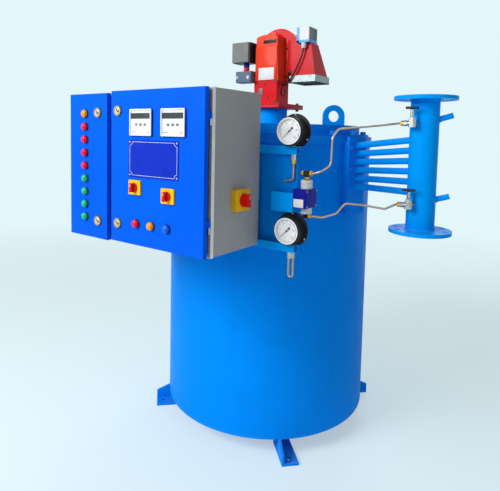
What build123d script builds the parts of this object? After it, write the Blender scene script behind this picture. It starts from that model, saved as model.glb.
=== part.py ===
from build123d import *
from math import cos, radians, sin, tan
import os

# Upright coil-type process heater with a burner on its lid, a two-door control
# panel on its front and a flanged oil header on its right-hand side.
# Millimetres. Origin on the shell's axis at floor level, +Z up, doors face -Y.

# Shell
SHELL_R = 500.0
SHELL_WALL = 6.0
SHELL_HEIGHT = 1285.0
GROUND_CLEARANCE = 77.0
BOTTOM_THICK = 8.0
RING_HEIGHT = 32.0
RING_OVERHANG = 6.0
RING_WALL = 12.0
RING_FLANGE_WIDTH = 76.0
RING_FLANGE_THICK = 10.0
LID_INSET = 53.0
LID_HEIGHT = 51.0
LID_PLATE = 8.0
LIP_INSET = 8.0
SEAT_GAP = 0.2

# Feet
FOOT_ANGLES = (-45.0, 45.0, 135.0, 225.0)
FOOT_OUT = 65.0
FOOT_UNDER = 100.0
FOOT_WIDTH = 75.0
FOOT_THICK = 10.0
FOOT_TIP_HEIGHT = 48.0
ANCHOR_OUT = 30.0
ANCHOR_HOLE_R = 9.0

# Lifting lugs
LUG_ANGLES = (45.0, 225.0)
LUG_INSET = 109.0
LUG_WIDTH = 118.0
LUG_HEIGHT = 113.0
LUG_THICK = 14.0
LUG_HOLE_R = 29.0
LUG_EDGE = 1.5

# Burner neck
NECK_R = 84.15
NECK_WALL = 7.1
NECK_HEIGHT = 83.0
NECK_PLATE = 240.0
NECK_PLATE_THICK = 10.0

# Burner block and front cover
BURNER_FLANGE_THICK = 12.0
BLOCK_RIGHT = 66.0
BLOCK_LEFT = -46.0
BLOCK_SHOULDER_LEFT = -72.0
BLOCK_SHOULDER_HEIGHT = 60.0
BLOCK_FRONT = -50.0
BLOCK_BACK = 65.0
BLOCK_HEIGHT = 116.0
BLOCK_ROUND = 8.0
PORT_R = 20.0
PORT_EYE_R = 12.0
PORT_REACH = 6.0
PORT_RISE = 62.0
COVER_WIDTH = 143.0
COVER_TOP_WIDTH = 126.0
COVER_FRONT = -52.0
COVER_DEPTH = 66.0
COVER_HEIGHT = 230.0
COVER_CROWN = 10.0
COVER_ROUND = 10.0
SLOT_X = 19.0
SLOT_DROP = 37.0
SLOT_WIDTH = 76.0
SLOT_HEIGHT = 17.0
SLOT_DEPTH = 3.0
EAR_X = 17.0
EAR_WIDTH = 44.0
EAR_RISE = 26.0
EAR_THICK = 14.0
EAR_SETBACK = 24.0
EAR_HOLE_R = 6.0

# Fan scroll, its motor and the air intake
FAN_X = 30.0
FAN_RISE = 136.0
FAN_R = 130.0
SCROLL_STEP = 10.0
FAN_DEPTH = 106.0
FAN_ROUND = 5.0
RIM_MARGIN = 15.0
RIM_THICK = 10.0
RIM_ROUND = 12.0
MOTOR_R = 56.0
MOTOR_LENGTH = 128.0
MOTOR_FLANGE_R = 76.0
MOTOR_FLANGE_THICK = 9.0
MOTOR_ROUND = 12.0
MOTOR_FIN_COUNT = 18
MOTOR_FIN_HEIGHT = 6.0
MOTOR_FIN_THICK = 4.0
MOTOR_FIN_MARGIN = 16.0
HOOD_OVERLAP = 42.0
HOOD_WIDTH = 127.0
HOOD_FRONT = 0.0
HOOD_RISE = 24.0
HOOD_HEIGHT = 153.0
HOOD_BOTTOM_DEPTH = 139.0
HOOD_TOP_DEPTH = 74.0
HOOD_TAPER = 23.0
HOOD_WALL = 4.0
HOOD_ROOF = 34.0
SKIRT_OUT = 7.0
SKIRT_HEIGHT = 35.0
SKIRT_WALL = 3.0

# Air pressure switch, control box and fuel valve on the burner
PRESSURE_BOX = (66.0, 84.0, 74.0)
PRESSURE_INSET = 38.0
PRESSURE_FORWARD = 24.0
PRESSURE_ROUND = 4.0
GLAND_R = 9.0
GLAND_LENGTH = 13.0
GLAND_SETBACK = 10.0
LEAD_R = 3.0
LEAD_RUN = 18.0
LEAD_BEND = 60.0
LEAD_CLEAR = 9.0
LEAD_BENDS = [(-12, 80), (-44, 18), (-76, -31)]
LEAD_END_DROP = 18.0
CONTROL_WIDTH = 106.0
CONTROL_GAP = 8.5
CONTROL_FORWARD = 44.0
CONTROL_DEPTH = 78.0
CONTROL_RISE = 92.0
CONTROL_HEIGHT = 105.0
CONTROL_ROUND = 5.0
CONTROL_LID = 16.0
CONTROL_LID_STEP = 2.0
CONTROL_LID_ROUND = 4.0
CONTROL_FOOT_INSET = 10.0
FUEL_REACH = 93.0
FUEL_FORWARD = 35.0
FUEL_DEPTH = 60.0
FUEL_DROP = 7.0
FUEL_HEIGHT = 58.0
FUEL_ROUND = 6.0
CONNECTOR_R = 13.0

# Oil header and its tube box
BRANCH_ANGLE = -12.0
HEADER_REACH = 338.0
HEADER_R = 54.0
HEADER_WALL = 6.0
HEADER_RISE = 161.0
HEADER_LENGTH = 531.0
HEADER_FLANGE_R = 117.5
HEADER_FLANGE_THICK = 14.0
HEADER_BOLT_R = 95.0
HEADER_BOLT_COUNT = 8
HEADER_BOLT_HOLE_R = 11.0
HEADER_PIPE_SETBACK = 4.0
PARTITION_THICK = 8.0
TUBE_COUNT = 6
TUBE_R = 13.45
TUBE_PITCH_AT_BOX = 35.5
TUBE_DROP = 126.0
TUBE_PITCH_AT_HEADER = 42.6
TUBE_RISE = 18.0
BOX_REACH = 23.0
BOX_SINK = 20.0
BOX_WIDTH = 94.0
BOX_WALL = 6.0
BOX_HEIGHT = 302.0
BOX_DROP = 18.0
COVER_PLATE_THICK = 12.0
COVER_PLATE_SIDE = 12.0
COVER_PLATE_END = 18.0
SOCKET_R = 11.0
SOCKET_BORE_R = 7.0
SOCKET_REACH = 52.0
SOCKET_ANGLE = 14.0
SOCKET_SLOPE = 18.0
SOCKET_DROPS = (103.0, 412.0)

# Needle valves on the header
VALVE_ANGLE = -106.0
VALVE_DROPS = (105.0, 416.0)
VALVE_STUB_R = 9.0
VALVE_GAP = 32.0
VALVE_BODY_R = 14.0
VALVE_BODY_HEIGHT = 30.0
VALVE_BONNET_R = 10.0
VALVE_BONNET_HEIGHT = 9.0
VALVE_NUT_R = 10.5
VALVE_NUT_LENGTH = 14.0
VALVE_NUT_REACH = 30.0
VALVE_ARM_R = 7.0
VALVE_STEM_R = 5.0
VALVE_STEM_CLEAR = 0.1
VALVE_STEM_SEAT = 12.0
VALVE_STEM_LIFT = 0.5
VALVE_HANDLE_RISE = 58.0
VALVE_BAR_LENGTH = 50.0
VALVE_BAR_R = 5.0
VALVE_BAR_ROUND = 3.0

# Copper pressure lines, from the header valves to the pressure switch
LINE_R = 4.0
LINE_BEND = 26.0
LINE_LEAD = 14.0
BEND_SHARE = 0.45
UPPER_LINE_LEAVES = [(-60, -66, -10)]
UPPER_LINE_ARRIVES = [(78.5, 62, 163), (66.5, 40, 132), (65.5, 36, 32), (45.5, 2, 10)]
LOWER_LINE_LEAVES = [(-42, -50, -17), (-102, -119, -1)]
LOWER_LINE_ARRIVES = [(94.5, 112, 44), (74.5, 80, 7), (44.5, 26, -5)]

# Panel
PANEL_STANDOFF = 97.6
PANEL_DEPTH = 282.3
PANEL_RISE = 155.0
MAIN_LEFT = -139.7
MAIN_WIDTH = 478.4
MAIN_HEIGHT = 572.0
LAMP_CASE_WIDTH = 244.0
LAMP_CASE_GAP = 18.3
LAMP_CASE_DROP = 6.0
SHEET = 2.0
LIP = 14.0
CASE_ROUND = 3.0
DOOR_THICK = 20.0
DOOR_ROUND = 3.0
DOOR_GAP = 9.6
DOOR_HINGE_SETBACK = 7.0
DOOR_EDGE_SETBACK = 3.0
HINGE_OFFSET = 4.0
HINGE_LEAF_SETBACK = 1.0
HINGE_PIN_R = 2.6
HINGE_CLEAR = 0.1
KNUCKLE_R = 4.0
KNUCKLE_LENGTH = 22.0
KNUCKLE_GAP = 0.3
HINGE_INSET = 105.0
MOUNTING_MARGIN = 30.0
MOUNTING_STANDOFF = 14.0
SPACER_R = 5.0
SPACER_INSET = 14.0

# Things on the doors
LAMP_INSET = 109.0
LAMP_COUNT = 9
LAMP_FIRST_DROP = 78.0
LAMP_LAST_RISE = 81.2
LAMP_BEZEL_R = 15.0
LAMP_BEZEL_THICK = 4.0
LAMP_BEZEL_EDGE = 1.2
LAMP_LENS_R = 12.0
LAMP_LENS_REACH = 13.0
LAMP_LENS_ROUND = 4.0
LAMP_BARREL_R = 11.0
LAMP_BARREL_LENGTH = 38.0
LAMP_NUT_R = 15.0
LAMP_NUT_THICK = 5.0
LOCK_R = 19.0
LOCK_REACH = 6.0
LOCK_WELL_R = 15.0
LOCK_WELL_DEPTH = 4.0
LOCK_BIT_R = 7.0
LOCK_BARREL_R = 11.0
LOCK_BARREL_LENGTH = 16.0
LAMP_LOCK_INSET = 56.0
MAIN_LOCK_INSET = 44.7
LOCK_DROP = 75.0
LOCK_RISE = 72.0
CONTROLLER_SHIFT = 13.5
CONTROLLER_SPACING = 160.0
CONTROLLER_GAP = 70.0
CONTROLLER_WIDTH = 112.0
CONTROLLER_HEIGHT = 96.0
CONTROLLER_REACH = 9.0
CONTROLLER_FACE_DEPTH = 3.0
CONTROLLER_FRAME = 5.0
CONTROLLER_ROUND = 4.0
CONTROLLER_BODY_INSET = 8.0
CONTROLLER_BODY_DEPTH = 62.0
PLATE_SHIFT = -7.5
PLATE_GAP = 16.0
PLATE_WIDTH = 252.0
PLATE_HEIGHT = 136.0
PLATE_THICK = 2.0
PLATE_ROUND = 3.0
PILOT_SHIFT = -13.5
PILOT_SPACING = 78.0
PILOT_GAP = 74.0
PILOT_MARGIN = 67.0
SELECTOR_SHIFT = -13.5
SELECTOR_SPACING = 168.0
SELECTOR_GAP = 11.0
SELECTOR_STAGGER = 18.0
SELECTOR_WIDTH = 62.0
SELECTOR_HEIGHT = 54.0
SELECTOR_THICK = 7.0
SELECTOR_BODY = 42.0
SELECTOR_BODY_DEPTH = 46.0
SELECTOR_KNOB_R = 17.0
SELECTOR_KNOB_THICK = 6.0
SELECTOR_GRIP = (11.0, 14.0)
KNOB_SPINDLE_R = 6.0
KNOB_SPINDLE_CLEAR = 0.1
KNOB_LIFT = 0.5
ISOLATOR_SETBACK = 152.9
ISOLATOR_RISE = 185.0
ISOLATOR_BOX = (22.0, 84.0, 78.0)
ISOLATOR_KNOB_R = 24.0
ISOLATOR_KNOB_THICK = 10.0
ISOLATOR_GRIP = (14.0, 18.0)

# Rails behind the panel
RAIL = 28.0
RAIL_WALL = 3.0
RAIL_DROP = 222.0
RAIL_SPACING = 359.0
RAIL_REACH = 158.3
POST_SPACING = 500.0
BACKING_THICK = 4.0
BACKING_SETBACK = 24.0
BACKING_INSET = 8.0

# Gauges on the rail ends
GAUGE_INSET = 19.0
GAUGE_R = 53.0
GAUGE_FLANGE_R = 64.0
GAUGE_FLANGE_THICK = 4.0
GAUGE_DEPTH = 50.0
GAUGE_BACK_GAP = 1.4
GAUGE_BEZEL_EDGE = 3.0
GAUGE_RIB_COUNT = 4
GAUGE_RIB_PITCH = 8.0
GAUGE_RIB_START = 11.0
GAUGE_GROOVE_WIDTH = 4.0
GAUGE_GROOVE_DEPTH = 2.0
GAUGE_DIAL_R = 45.0
GAUGE_DIAL_DEPTH = 8.0
GAUGE_DIAL_THICK = 2.0
GAUGE_STEM_RISE = 2.0
GAUGE_STEM_R = 7.0
GAUGE_STEM_CLEAR = 0.3
GAUGE_NUT_R = 9.5
GAUGE_NUT_HEIGHT = 22.0
TAIL_R = 4.0
TAIL_DROP = 72.0
TAIL_RUN = 34.0
TAIL_BEND = 14.0
LOOP_DROP = 62.0
LOOP_R = 9.0
LOOP_NUT_EDGE = 1.0

# Differential pressure switch
BRACKET_WIDTH = 91.0
BRACKET_HEIGHT = 70.0
BRACKET_DROP = 17.0
BRACKET_THICK = 4.0
BRACKET_FORWARD = 6.4
SWITCH_GAP = 1.0
SWITCH_RISE = 7.5
SWITCH_WIDTH = 55.0
SWITCH_DEPTH = 82.0
SWITCH_HEIGHT = 68.0
SWITCH_ROUND = 3.0
SWITCH_CAP_R = 21.0
SWITCH_CAP_EDGE = 2.0
SWITCH_CAP_TOP = 31.0
SWITCH_CAP_BOTTOM = 24.0
SWITCH_PORT_SETBACK = 52.0
SWITCH_PORT_R = 7.0
SWITCH_PORT_RISE = 14.0
SWITCH_ELBOW = 20.0
SWITCH_LOWER_ELBOW = 16.0

# Sizes that follow from those above
RING_BOTTOM = GROUND_CLEARANCE + SHELL_HEIGHT
RING_TOP = RING_BOTTOM + RING_HEIGHT
RING_R = SHELL_R + RING_OVERHANG
LID_R = SHELL_R - LID_INSET
LID_TOP = RING_TOP + LID_HEIGHT
NECK_TOP = LID_TOP + NECK_HEIGHT
NECK_PLATE_TOP = NECK_TOP + NECK_PLATE_THICK
BLOCK_BOTTOM = NECK_PLATE_TOP + BURNER_FLANGE_THICK
BLOCK_TOP = BLOCK_BOTTOM + BLOCK_HEIGHT
COVER_TOP = BLOCK_TOP + COVER_HEIGHT
COVER_BACK = COVER_FRONT + COVER_DEPTH
FAN_Z = BLOCK_TOP + FAN_RISE
FAN_BACK = COVER_BACK + FAN_DEPTH
HOOD_LEFT = FAN_X + FAN_R - HOOD_OVERLAP
HOOD_RIGHT = HOOD_LEFT + HOOD_WIDTH
HOOD_BOTTOM = BLOCK_TOP + HOOD_RISE
HOOD_TOP = HOOD_BOTTOM + HOOD_HEIGHT
SKIRT_BOTTOM = HOOD_BOTTOM - SKIRT_HEIGHT
HEADER_DISTANCE = SHELL_R + HEADER_REACH
HEADER_X = HEADER_DISTANCE * cos(radians(BRANCH_ANGLE))
HEADER_Y = HEADER_DISTANCE * sin(radians(BRANCH_ANGLE))
HEADER_TOP = RING_TOP + HEADER_RISE
HEADER_BOTTOM = HEADER_TOP - HEADER_LENGTH
TUBE_Z = RING_TOP - TUBE_DROP
BOX_FACE = SHELL_R + BOX_REACH
BOX_TOP = RING_TOP - BOX_DROP
BOX_BOTTOM = BOX_TOP - BOX_HEIGHT
PLATE_FACE = BOX_FACE + COVER_PLATE_THICK
VALVE_DISTANCE = HEADER_R + VALVE_GAP
PANEL_BACK = -(SHELL_R + PANEL_STANDOFF)
PANEL_FRONT = PANEL_BACK - PANEL_DEPTH
MAIN_RIGHT = MAIN_LEFT + MAIN_WIDTH
MAIN_MID = MAIN_LEFT + MAIN_WIDTH / 2
MAIN_TOP = RING_TOP + PANEL_RISE
MAIN_BOTTOM = MAIN_TOP - MAIN_HEIGHT
LAMP_RIGHT = MAIN_LEFT - LAMP_CASE_GAP
LAMP_LEFT = LAMP_RIGHT - LAMP_CASE_WIDTH
LAMP_BOTTOM = MAIN_BOTTOM - LAMP_CASE_DROP
LAMP_TOP = MAIN_TOP - LAMP_CASE_DROP
DOOR_BACK = PANEL_FRONT - DOOR_GAP
DOOR_FRONT = DOOR_BACK - DOOR_THICK
HINGE_Y = PANEL_FRONT - DOOR_GAP / 2
LAMP_PITCH = (LAMP_TOP - LAMP_BOTTOM - LAMP_FIRST_DROP - LAMP_LAST_RISE) / (LAMP_COUNT - 1)
LAMP_PLACES = [(LAMP_LEFT + LAMP_INSET, LAMP_TOP - LAMP_FIRST_DROP - index * LAMP_PITCH)
               for index in range(LAMP_COUNT)]

# Rows on the main door, from the top: what height they leave is shared out as the gaps between them
SELECTOR_ROW = SELECTOR_HEIGHT + SELECTOR_STAGGER
PILOT_ROW = 2 * LAMP_BEZEL_R
ROWS_FREE = MAIN_HEIGHT - CONTROLLER_HEIGHT - PLATE_HEIGHT - SELECTOR_ROW - PILOT_ROW
ROW_SPREAD = ROWS_FREE / (CONTROLLER_GAP + PLATE_GAP + SELECTOR_GAP + PILOT_GAP + PILOT_MARGIN)
CONTROLLER_Z = MAIN_TOP - ROW_SPREAD * CONTROLLER_GAP - CONTROLLER_HEIGHT / 2
PLATE_Z = CONTROLLER_Z - CONTROLLER_HEIGHT / 2 - ROW_SPREAD * PLATE_GAP - PLATE_HEIGHT / 2
SELECTOR_Z = PLATE_Z - PLATE_HEIGHT / 2 - ROW_SPREAD * SELECTOR_GAP - SELECTOR_ROW / 2
PILOT_Z = MAIN_BOTTOM + ROW_SPREAD * PILOT_MARGIN + PILOT_ROW / 2
PILOT_PLACES = [(MAIN_MID + PILOT_SHIFT + step * PILOT_SPACING, PILOT_Z) for step in (-1, 0, 1)]
LAMP_LOCK_PLACES = [(LAMP_RIGHT - LAMP_LOCK_INSET, z) for z in (LAMP_TOP - LOCK_DROP, LAMP_BOTTOM + LOCK_RISE)]
MAIN_LOCK_PLACES = [(MAIN_LEFT + MAIN_LOCK_INSET, z) for z in (MAIN_TOP - LOCK_DROP, MAIN_BOTTOM + LOCK_RISE)]
CONTROLLER_PLACES = [(MAIN_MID + CONTROLLER_SHIFT + side * CONTROLLER_SPACING / 2, CONTROLLER_Z)
                     for side in (-1, 1)]
SELECTOR_PLACES = [(MAIN_MID + SELECTOR_SHIFT + side * SELECTOR_SPACING / 2,
                    SELECTOR_Z - side * SELECTOR_STAGGER / 2) for side in (-1, 1)]
ISOLATOR_Y = PANEL_FRONT + ISOLATOR_SETBACK
ISOLATOR_Z = MAIN_BOTTOM + ISOLATOR_RISE
RAIL_UPPER_Z = MAIN_TOP - RAIL_DROP
RAIL_LOWER_Z = RAIL_UPPER_Z - RAIL_SPACING
RAIL_RIGHT = MAIN_RIGHT + RAIL_REACH
RAIL_BACK = PANEL_BACK + RAIL
RAIL_MID_Y = PANEL_BACK + RAIL / 2
BACKING_FRONT = PANEL_BACK + BACKING_SETBACK
BACKING_RIGHT = RAIL_RIGHT - BACKING_INSET
GAUGE_X = RAIL_RIGHT - GAUGE_INSET
GAUGE_BACK = BACKING_FRONT - GAUGE_BACK_GAP
GAUGE_FRONT = GAUGE_BACK - GAUGE_DEPTH
BRACKET_FRONT = PANEL_BACK - BRACKET_FORWARD
SWITCH_LEFT = BACKING_RIGHT + SWITCH_GAP
SWITCH_X = SWITCH_LEFT + SWITCH_WIDTH / 2
SWITCH_Z = (RAIL_LOWER_Z + RAIL + RAIL_UPPER_Z) / 2 + SWITCH_RISE
SWITCH_BOTTOM = SWITCH_Z - SWITCH_HEIGHT / 2
SWITCH_TOP = SWITCH_Z + SWITCH_HEIGHT / 2
SWITCH_PORT_Y = BRACKET_FRONT + SWITCH_PORT_SETBACK


def block(x0, x1, y0, y1, z0, z1):
    """A box between two corners."""
    return Pos((x0 + x1) / 2, (y0 + y1) / 2, (z0 + z1) / 2) * Box(x1 - x0, y1 - y0, z1 - z0)


def post(x, y, z0, z1, r):
    """An upright cylinder."""
    return Pos(x, y, (z0 + z1) / 2) * Cylinder(r, z1 - z0)


def rod(start, end, r):
    """A round bar from one point to another."""
    line = Vector(*end) - Vector(*start)
    plane = Plane(origin=start, z_dir=line)
    return extrude(plane * Circle(r), line.length)


def stud(x, z, y0, y1, r):
    """A round piece along Y."""
    return rod((x, y0, z), (x, y1, z), r)


def hex_bar(start, end, r):
    """A six-sided bar from one point to another, r to its corners."""
    line = Vector(*end) - Vector(*start)
    plane = Plane(origin=start, z_dir=line)
    return extrude(plane * RegularPolygon(r, 6), line.length)


def bent_tube(points, r, bend):
    """A round tube along straight runs with rounded bends."""
    runs = [Vector(*b) - Vector(*a) for a, b in zip(points, points[1:])]
    radii = []
    for run, after in zip(runs, runs[1:]):
        room = BEND_SHARE * min(run.length, after.length) / tan(radians(run.get_angle(after)) / 2)
        radii.append(min(bend, room))
    path = FilletPolyline(*points, radius=radii)
    start = Plane(origin=points[0], z_dir=path % 0)
    return sweep(start * Circle(r), path)


def facing(x, y, z):
    """A place with +X to the right, +Y up and +Z towards the front."""
    return Plane(origin=(x, y, z), x_dir=(1, 0, 0), z_dir=(0, -1, 0))


def shifted(place, step):
    return tuple(a + b for a, b in zip(place, step))


def turned(shape, angle):
    """Turns a piece about the shell's axis."""
    return Rot(0, 0, angle) * shape


def save(name, *solids):
    """Writes one node; several solids share it when they do not touch."""
    shape = solids[0] if len(solids) == 1 else Compound(children=list(solids))
    shape.label = name
    export_step(shape, f"parts/{name}.step")


def shell_pieces():
    wall_bottom = GROUND_CLEARANCE + BOTTOM_THICK
    wall = post(0, 0, wall_bottom, RING_BOTTOM, SHELL_R)
    wall -= post(0, 0, wall_bottom, RING_BOTTOM, SHELL_R - SHELL_WALL)
    save("shell_wall", wall)
    save("bottom_plate", post(0, 0, GROUND_CLEARANCE, wall_bottom, SHELL_R))

    ring = post(0, 0, RING_BOTTOM, RING_TOP, RING_R)
    ring -= post(0, 0, RING_BOTTOM, RING_TOP - RING_FLANGE_THICK, RING_R - RING_WALL)
    ring -= post(0, 0, RING_BOTTOM, RING_TOP, RING_R - RING_FLANGE_WIDTH)
    save("top_ring", ring)

    lid = post(0, 0, RING_TOP, LID_TOP, LID_R)
    lid += post(0, 0, RING_TOP, RING_TOP + LID_PLATE, SHELL_R - LIP_INSET)
    lid -= post(0, 0, RING_TOP, LID_TOP - LID_PLATE, LID_R - LID_PLATE)
    lid -= post(0, 0, RING_TOP, LID_TOP, NECK_R - NECK_WALL)
    save("top_lid", lid)


def neck_piece():
    half = NECK_PLATE / 2
    neck = post(0, 0, LID_TOP, NECK_TOP, NECK_R)
    neck += block(-half, half, -half, half, NECK_TOP, NECK_PLATE_TOP)
    neck -= post(0, 0, LID_TOP, NECK_PLATE_TOP, NECK_R - NECK_WALL)
    save("burner_neck", neck)


def lug_pieces():
    lugs = []
    eye = LUG_HEIGHT - LUG_WIDTH / 2
    outline = Pos(0, eye / 2) * Rectangle(LUG_WIDTH, eye)
    outline += Pos(0, eye) * Circle(LUG_WIDTH / 2)
    outline -= Pos(0, -LUG_WIDTH / 2) * Rectangle(LUG_WIDTH, LUG_WIDTH)
    for angle in LUG_ANGLES:
        face = facing(LID_R - LUG_INSET, LUG_THICK / 2, LID_TOP)
        lug = extrude(face * outline, LUG_THICK)
        lug = chamfer(lug.edges().filter_by(GeomType.CIRCLE), LUG_EDGE)
        lug -= extrude(face * Pos(0, eye) * Circle(LUG_HOLE_R), LUG_THICK)
        lugs.append(turned(lug, angle))
    save("lifting_lugs", *lugs)


def foot_pieces():
    feet = []
    half = FOOT_WIDTH / 2
    heel, tip = SHELL_R - FOOT_UNDER, SHELL_R + FOOT_OUT
    for angle in FOOT_ANGLES:
        foot = block(heel, tip, -half, half, 0, FOOT_THICK)
        web = Polyline((heel, 0), (tip, 0), (tip, FOOT_TIP_HEIGHT), (SHELL_R, GROUND_CLEARANCE),
                       (heel, GROUND_CLEARANCE), close=True)
        foot += extrude(facing(0, FOOT_THICK - half, 0) * make_face(web), FOOT_THICK)
        foot -= post(SHELL_R + ANCHOR_OUT, 0, 0, FOOT_THICK, ANCHOR_HOLE_R)
        feet.append(turned(foot, angle))
    save("feet", *feet)


def tube_ends(index):
    """Where a tube crosses the box's cover plate and where it reaches the header."""
    step = (TUBE_COUNT - 1) / 2 - index
    near = (PLATE_FACE, 0, TUBE_Z + step * TUBE_PITCH_AT_BOX)
    far = (HEADER_DISTANCE, 0, TUBE_Z + TUBE_RISE + step * TUBE_PITCH_AT_HEADER)
    return Vector(*near), Vector(*far)


def branch_pieces():
    half = BOX_WIDTH / 2
    root = SHELL_R - BOX_SINK
    duct = block(root, BOX_FACE, -half, half, BOX_BOTTOM, BOX_TOP)
    duct -= block(root, BOX_FACE, BOX_WALL - half, half - BOX_WALL, BOX_BOTTOM + BOX_WALL, BOX_TOP - BOX_WALL)
    duct -= post(0, 0, BOX_BOTTOM, RING_BOTTOM, SHELL_R + SEAT_GAP)
    duct -= post(0, 0, RING_BOTTOM - SEAT_GAP, RING_TOP, RING_R + SEAT_GAP)
    save("tube_box", turned(duct, BRANCH_ANGLE))

    half += COVER_PLATE_SIDE
    plate_bottom, plate_top = BOX_BOTTOM - COVER_PLATE_END, BOX_TOP + COVER_PLATE_END
    plate = block(BOX_FACE, PLATE_FACE, -half, half, plate_bottom, plate_top)
    tubes = []
    for index in range(TUBE_COUNT):
        near, far = tube_ends(index)
        reach = far - near
        tube = rod(tuple(near - reach), tuple(far), TUBE_R)
        tube -= block(0, BOX_FACE, -half, half, GROUND_CLEARANCE, COVER_TOP)
        tube -= post(HEADER_DISTANCE, 0, HEADER_BOTTOM, HEADER_TOP, HEADER_R + SEAT_GAP)
        plate -= rod(tuple(near - reach), tuple(far), TUBE_R + SEAT_GAP)
        tubes.append(turned(tube, BRANCH_ANGLE))
    save("tube_box_cover", turned(plate, BRANCH_ANGLE))
    save("coil_tubes", *tubes)


def header_pieces():
    pipe_bottom = HEADER_BOTTOM + HEADER_PIPE_SETBACK
    pipe_top = HEADER_TOP - HEADER_PIPE_SETBACK
    middle = (HEADER_BOTTOM + HEADER_TOP) / 2
    bore_r = HEADER_R - HEADER_WALL
    pipe = post(HEADER_X, HEADER_Y, pipe_bottom, pipe_top, HEADER_R)
    pipe -= post(HEADER_X, HEADER_Y, pipe_bottom, middle - PARTITION_THICK / 2, bore_r)
    pipe -= post(HEADER_X, HEADER_Y, middle + PARTITION_THICK / 2, pipe_top, bore_r)
    save("header_pipe", pipe)
    ends = {"header_top_flange": HEADER_TOP - HEADER_FLANGE_THICK, "header_bottom_flange": HEADER_BOTTOM}
    for name, base in ends.items():
        top = base + HEADER_FLANGE_THICK
        flange = post(HEADER_X, HEADER_Y, base, top, HEADER_FLANGE_R)
        flange -= post(HEADER_X, HEADER_Y, base, top, HEADER_R + SEAT_GAP)
        for hole in PolarLocations(HEADER_BOLT_R, HEADER_BOLT_COUNT):
            spot = hole.position
            flange -= post(HEADER_X + spot.X, HEADER_Y + spot.Y, base, top, HEADER_BOLT_HOLE_R)
        save(name, flange)

    sockets = []
    out = Vector(cos(radians(SOCKET_ANGLE)), sin(radians(SOCKET_ANGLE)), sin(radians(SOCKET_SLOPE)))
    for drop in SOCKET_DROPS:
        root = Vector(HEADER_X, HEADER_Y, HEADER_TOP - drop)
        tip = root + out.normalized() * (HEADER_R + SOCKET_REACH)
        socket = rod(tuple(root), tuple(tip), SOCKET_R) - rod(tuple(root), tuple(tip), SOCKET_BORE_R)
        socket -= post(HEADER_X, HEADER_Y, HEADER_BOTTOM, HEADER_TOP, HEADER_R + SEAT_GAP)
        sockets.append(socket)
    save("header_sockets", *sockets)


def valve_place(drop):
    """Centre of a needle valve, in front of the header."""
    way = radians(VALVE_ANGLE)
    return (HEADER_X + VALVE_DISTANCE * cos(way), HEADER_Y + VALVE_DISTANCE * sin(way), HEADER_TOP - drop)


def valve_pieces():
    bodies = []
    for drop, name in zip(VALVE_DROPS, ("valve_handle_upper", "valve_handle_lower")):
        x, y, z = valve_place(drop)
        low, top = z - VALVE_BODY_HEIGHT / 2, z + VALVE_BODY_HEIGHT / 2
        bonnet_top = top + VALVE_BONNET_HEIGHT
        nut_end = x - VALVE_NUT_REACH
        body = hex_bar((x, y, low), (x, y, top), VALVE_BODY_R)
        body += hex_bar((x, y, top), (x, y, bonnet_top), VALVE_BONNET_R)
        body += rod((HEADER_X, HEADER_Y, z), (x, y, z), VALVE_STUB_R)
        body += rod((x, y, z), (nut_end, y, z), VALVE_ARM_R)
        body += hex_bar((nut_end + VALVE_NUT_LENGTH, y, z), (nut_end, y, z), VALVE_NUT_R)
        body -= post(HEADER_X, HEADER_Y, HEADER_BOTTOM, HEADER_TOP, HEADER_R + SEAT_GAP)
        seat = bonnet_top - VALVE_STEM_SEAT
        body -= post(x, y, seat, bonnet_top, VALVE_STEM_R + VALVE_STEM_CLEAR)
        bodies.append(body)
        bar_z = z + VALVE_HANDLE_RISE
        half = VALVE_BAR_LENGTH / 2
        bar = rod((x - half, y, bar_z), (x + half, y, bar_z), VALVE_BAR_R)
        bar = fillet(bar.edges().filter_by(GeomType.CIRCLE), VALVE_BAR_ROUND)
        save(name, bar + post(x, y, seat + VALVE_STEM_LIFT, bar_z, VALVE_STEM_R))
    save("needle_valves", *bodies)


def line_pieces():
    elbow_z = SWITCH_TOP + SWITCH_CAP_TOP + SWITCH_PORT_RISE + SWITCH_ELBOW / 2
    lower_z = SWITCH_BOTTOM - SWITCH_CAP_BOTTOM - SWITCH_LOWER_ELBOW / 2
    routes = ((VALVE_DROPS[0], UPPER_LINE_LEAVES, UPPER_LINE_ARRIVES, SWITCH_ELBOW, elbow_z),
              (VALVE_DROPS[1], LOWER_LINE_LEAVES, LOWER_LINE_ARRIVES, SWITCH_LOWER_ELBOW, lower_z))
    tubes = []
    for drop, leaves, arrives, elbow, end_z in routes:
        start = shifted(valve_place(drop), (-VALVE_NUT_REACH, 0, 0))
        end = (SWITCH_X + elbow / 2, SWITCH_PORT_Y, end_z)
        points = [start, shifted(start, (-LINE_LEAD, 0, 0))]
        points += [shifted(start, step) for step in leaves] + [shifted(end, step) for step in arrives]
        points += [shifted(end, (LINE_LEAD, 0, 0)), end]
        tubes.append(bent_tube(points, LINE_R, LINE_BEND))
    save("pressure_lines", *tubes)


def enclosure(x0, x1, z0, z1):
    """A sheet-metal case, open at the front inside a turned-in lip."""
    case = block(x0, x1, PANEL_FRONT, PANEL_BACK, z0, z1)
    case = fillet(case.edges().filter_by(Axis.Y), CASE_ROUND)
    case -= block(x0 + SHEET, x1 - SHEET, PANEL_FRONT + SHEET, PANEL_BACK - SHEET, z0 + SHEET, z1 - SHEET)
    case -= block(x0 + LIP, x1 - LIP, PANEL_FRONT, PANEL_FRONT + SHEET, z0 + LIP, z1 - LIP)
    return case


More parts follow.
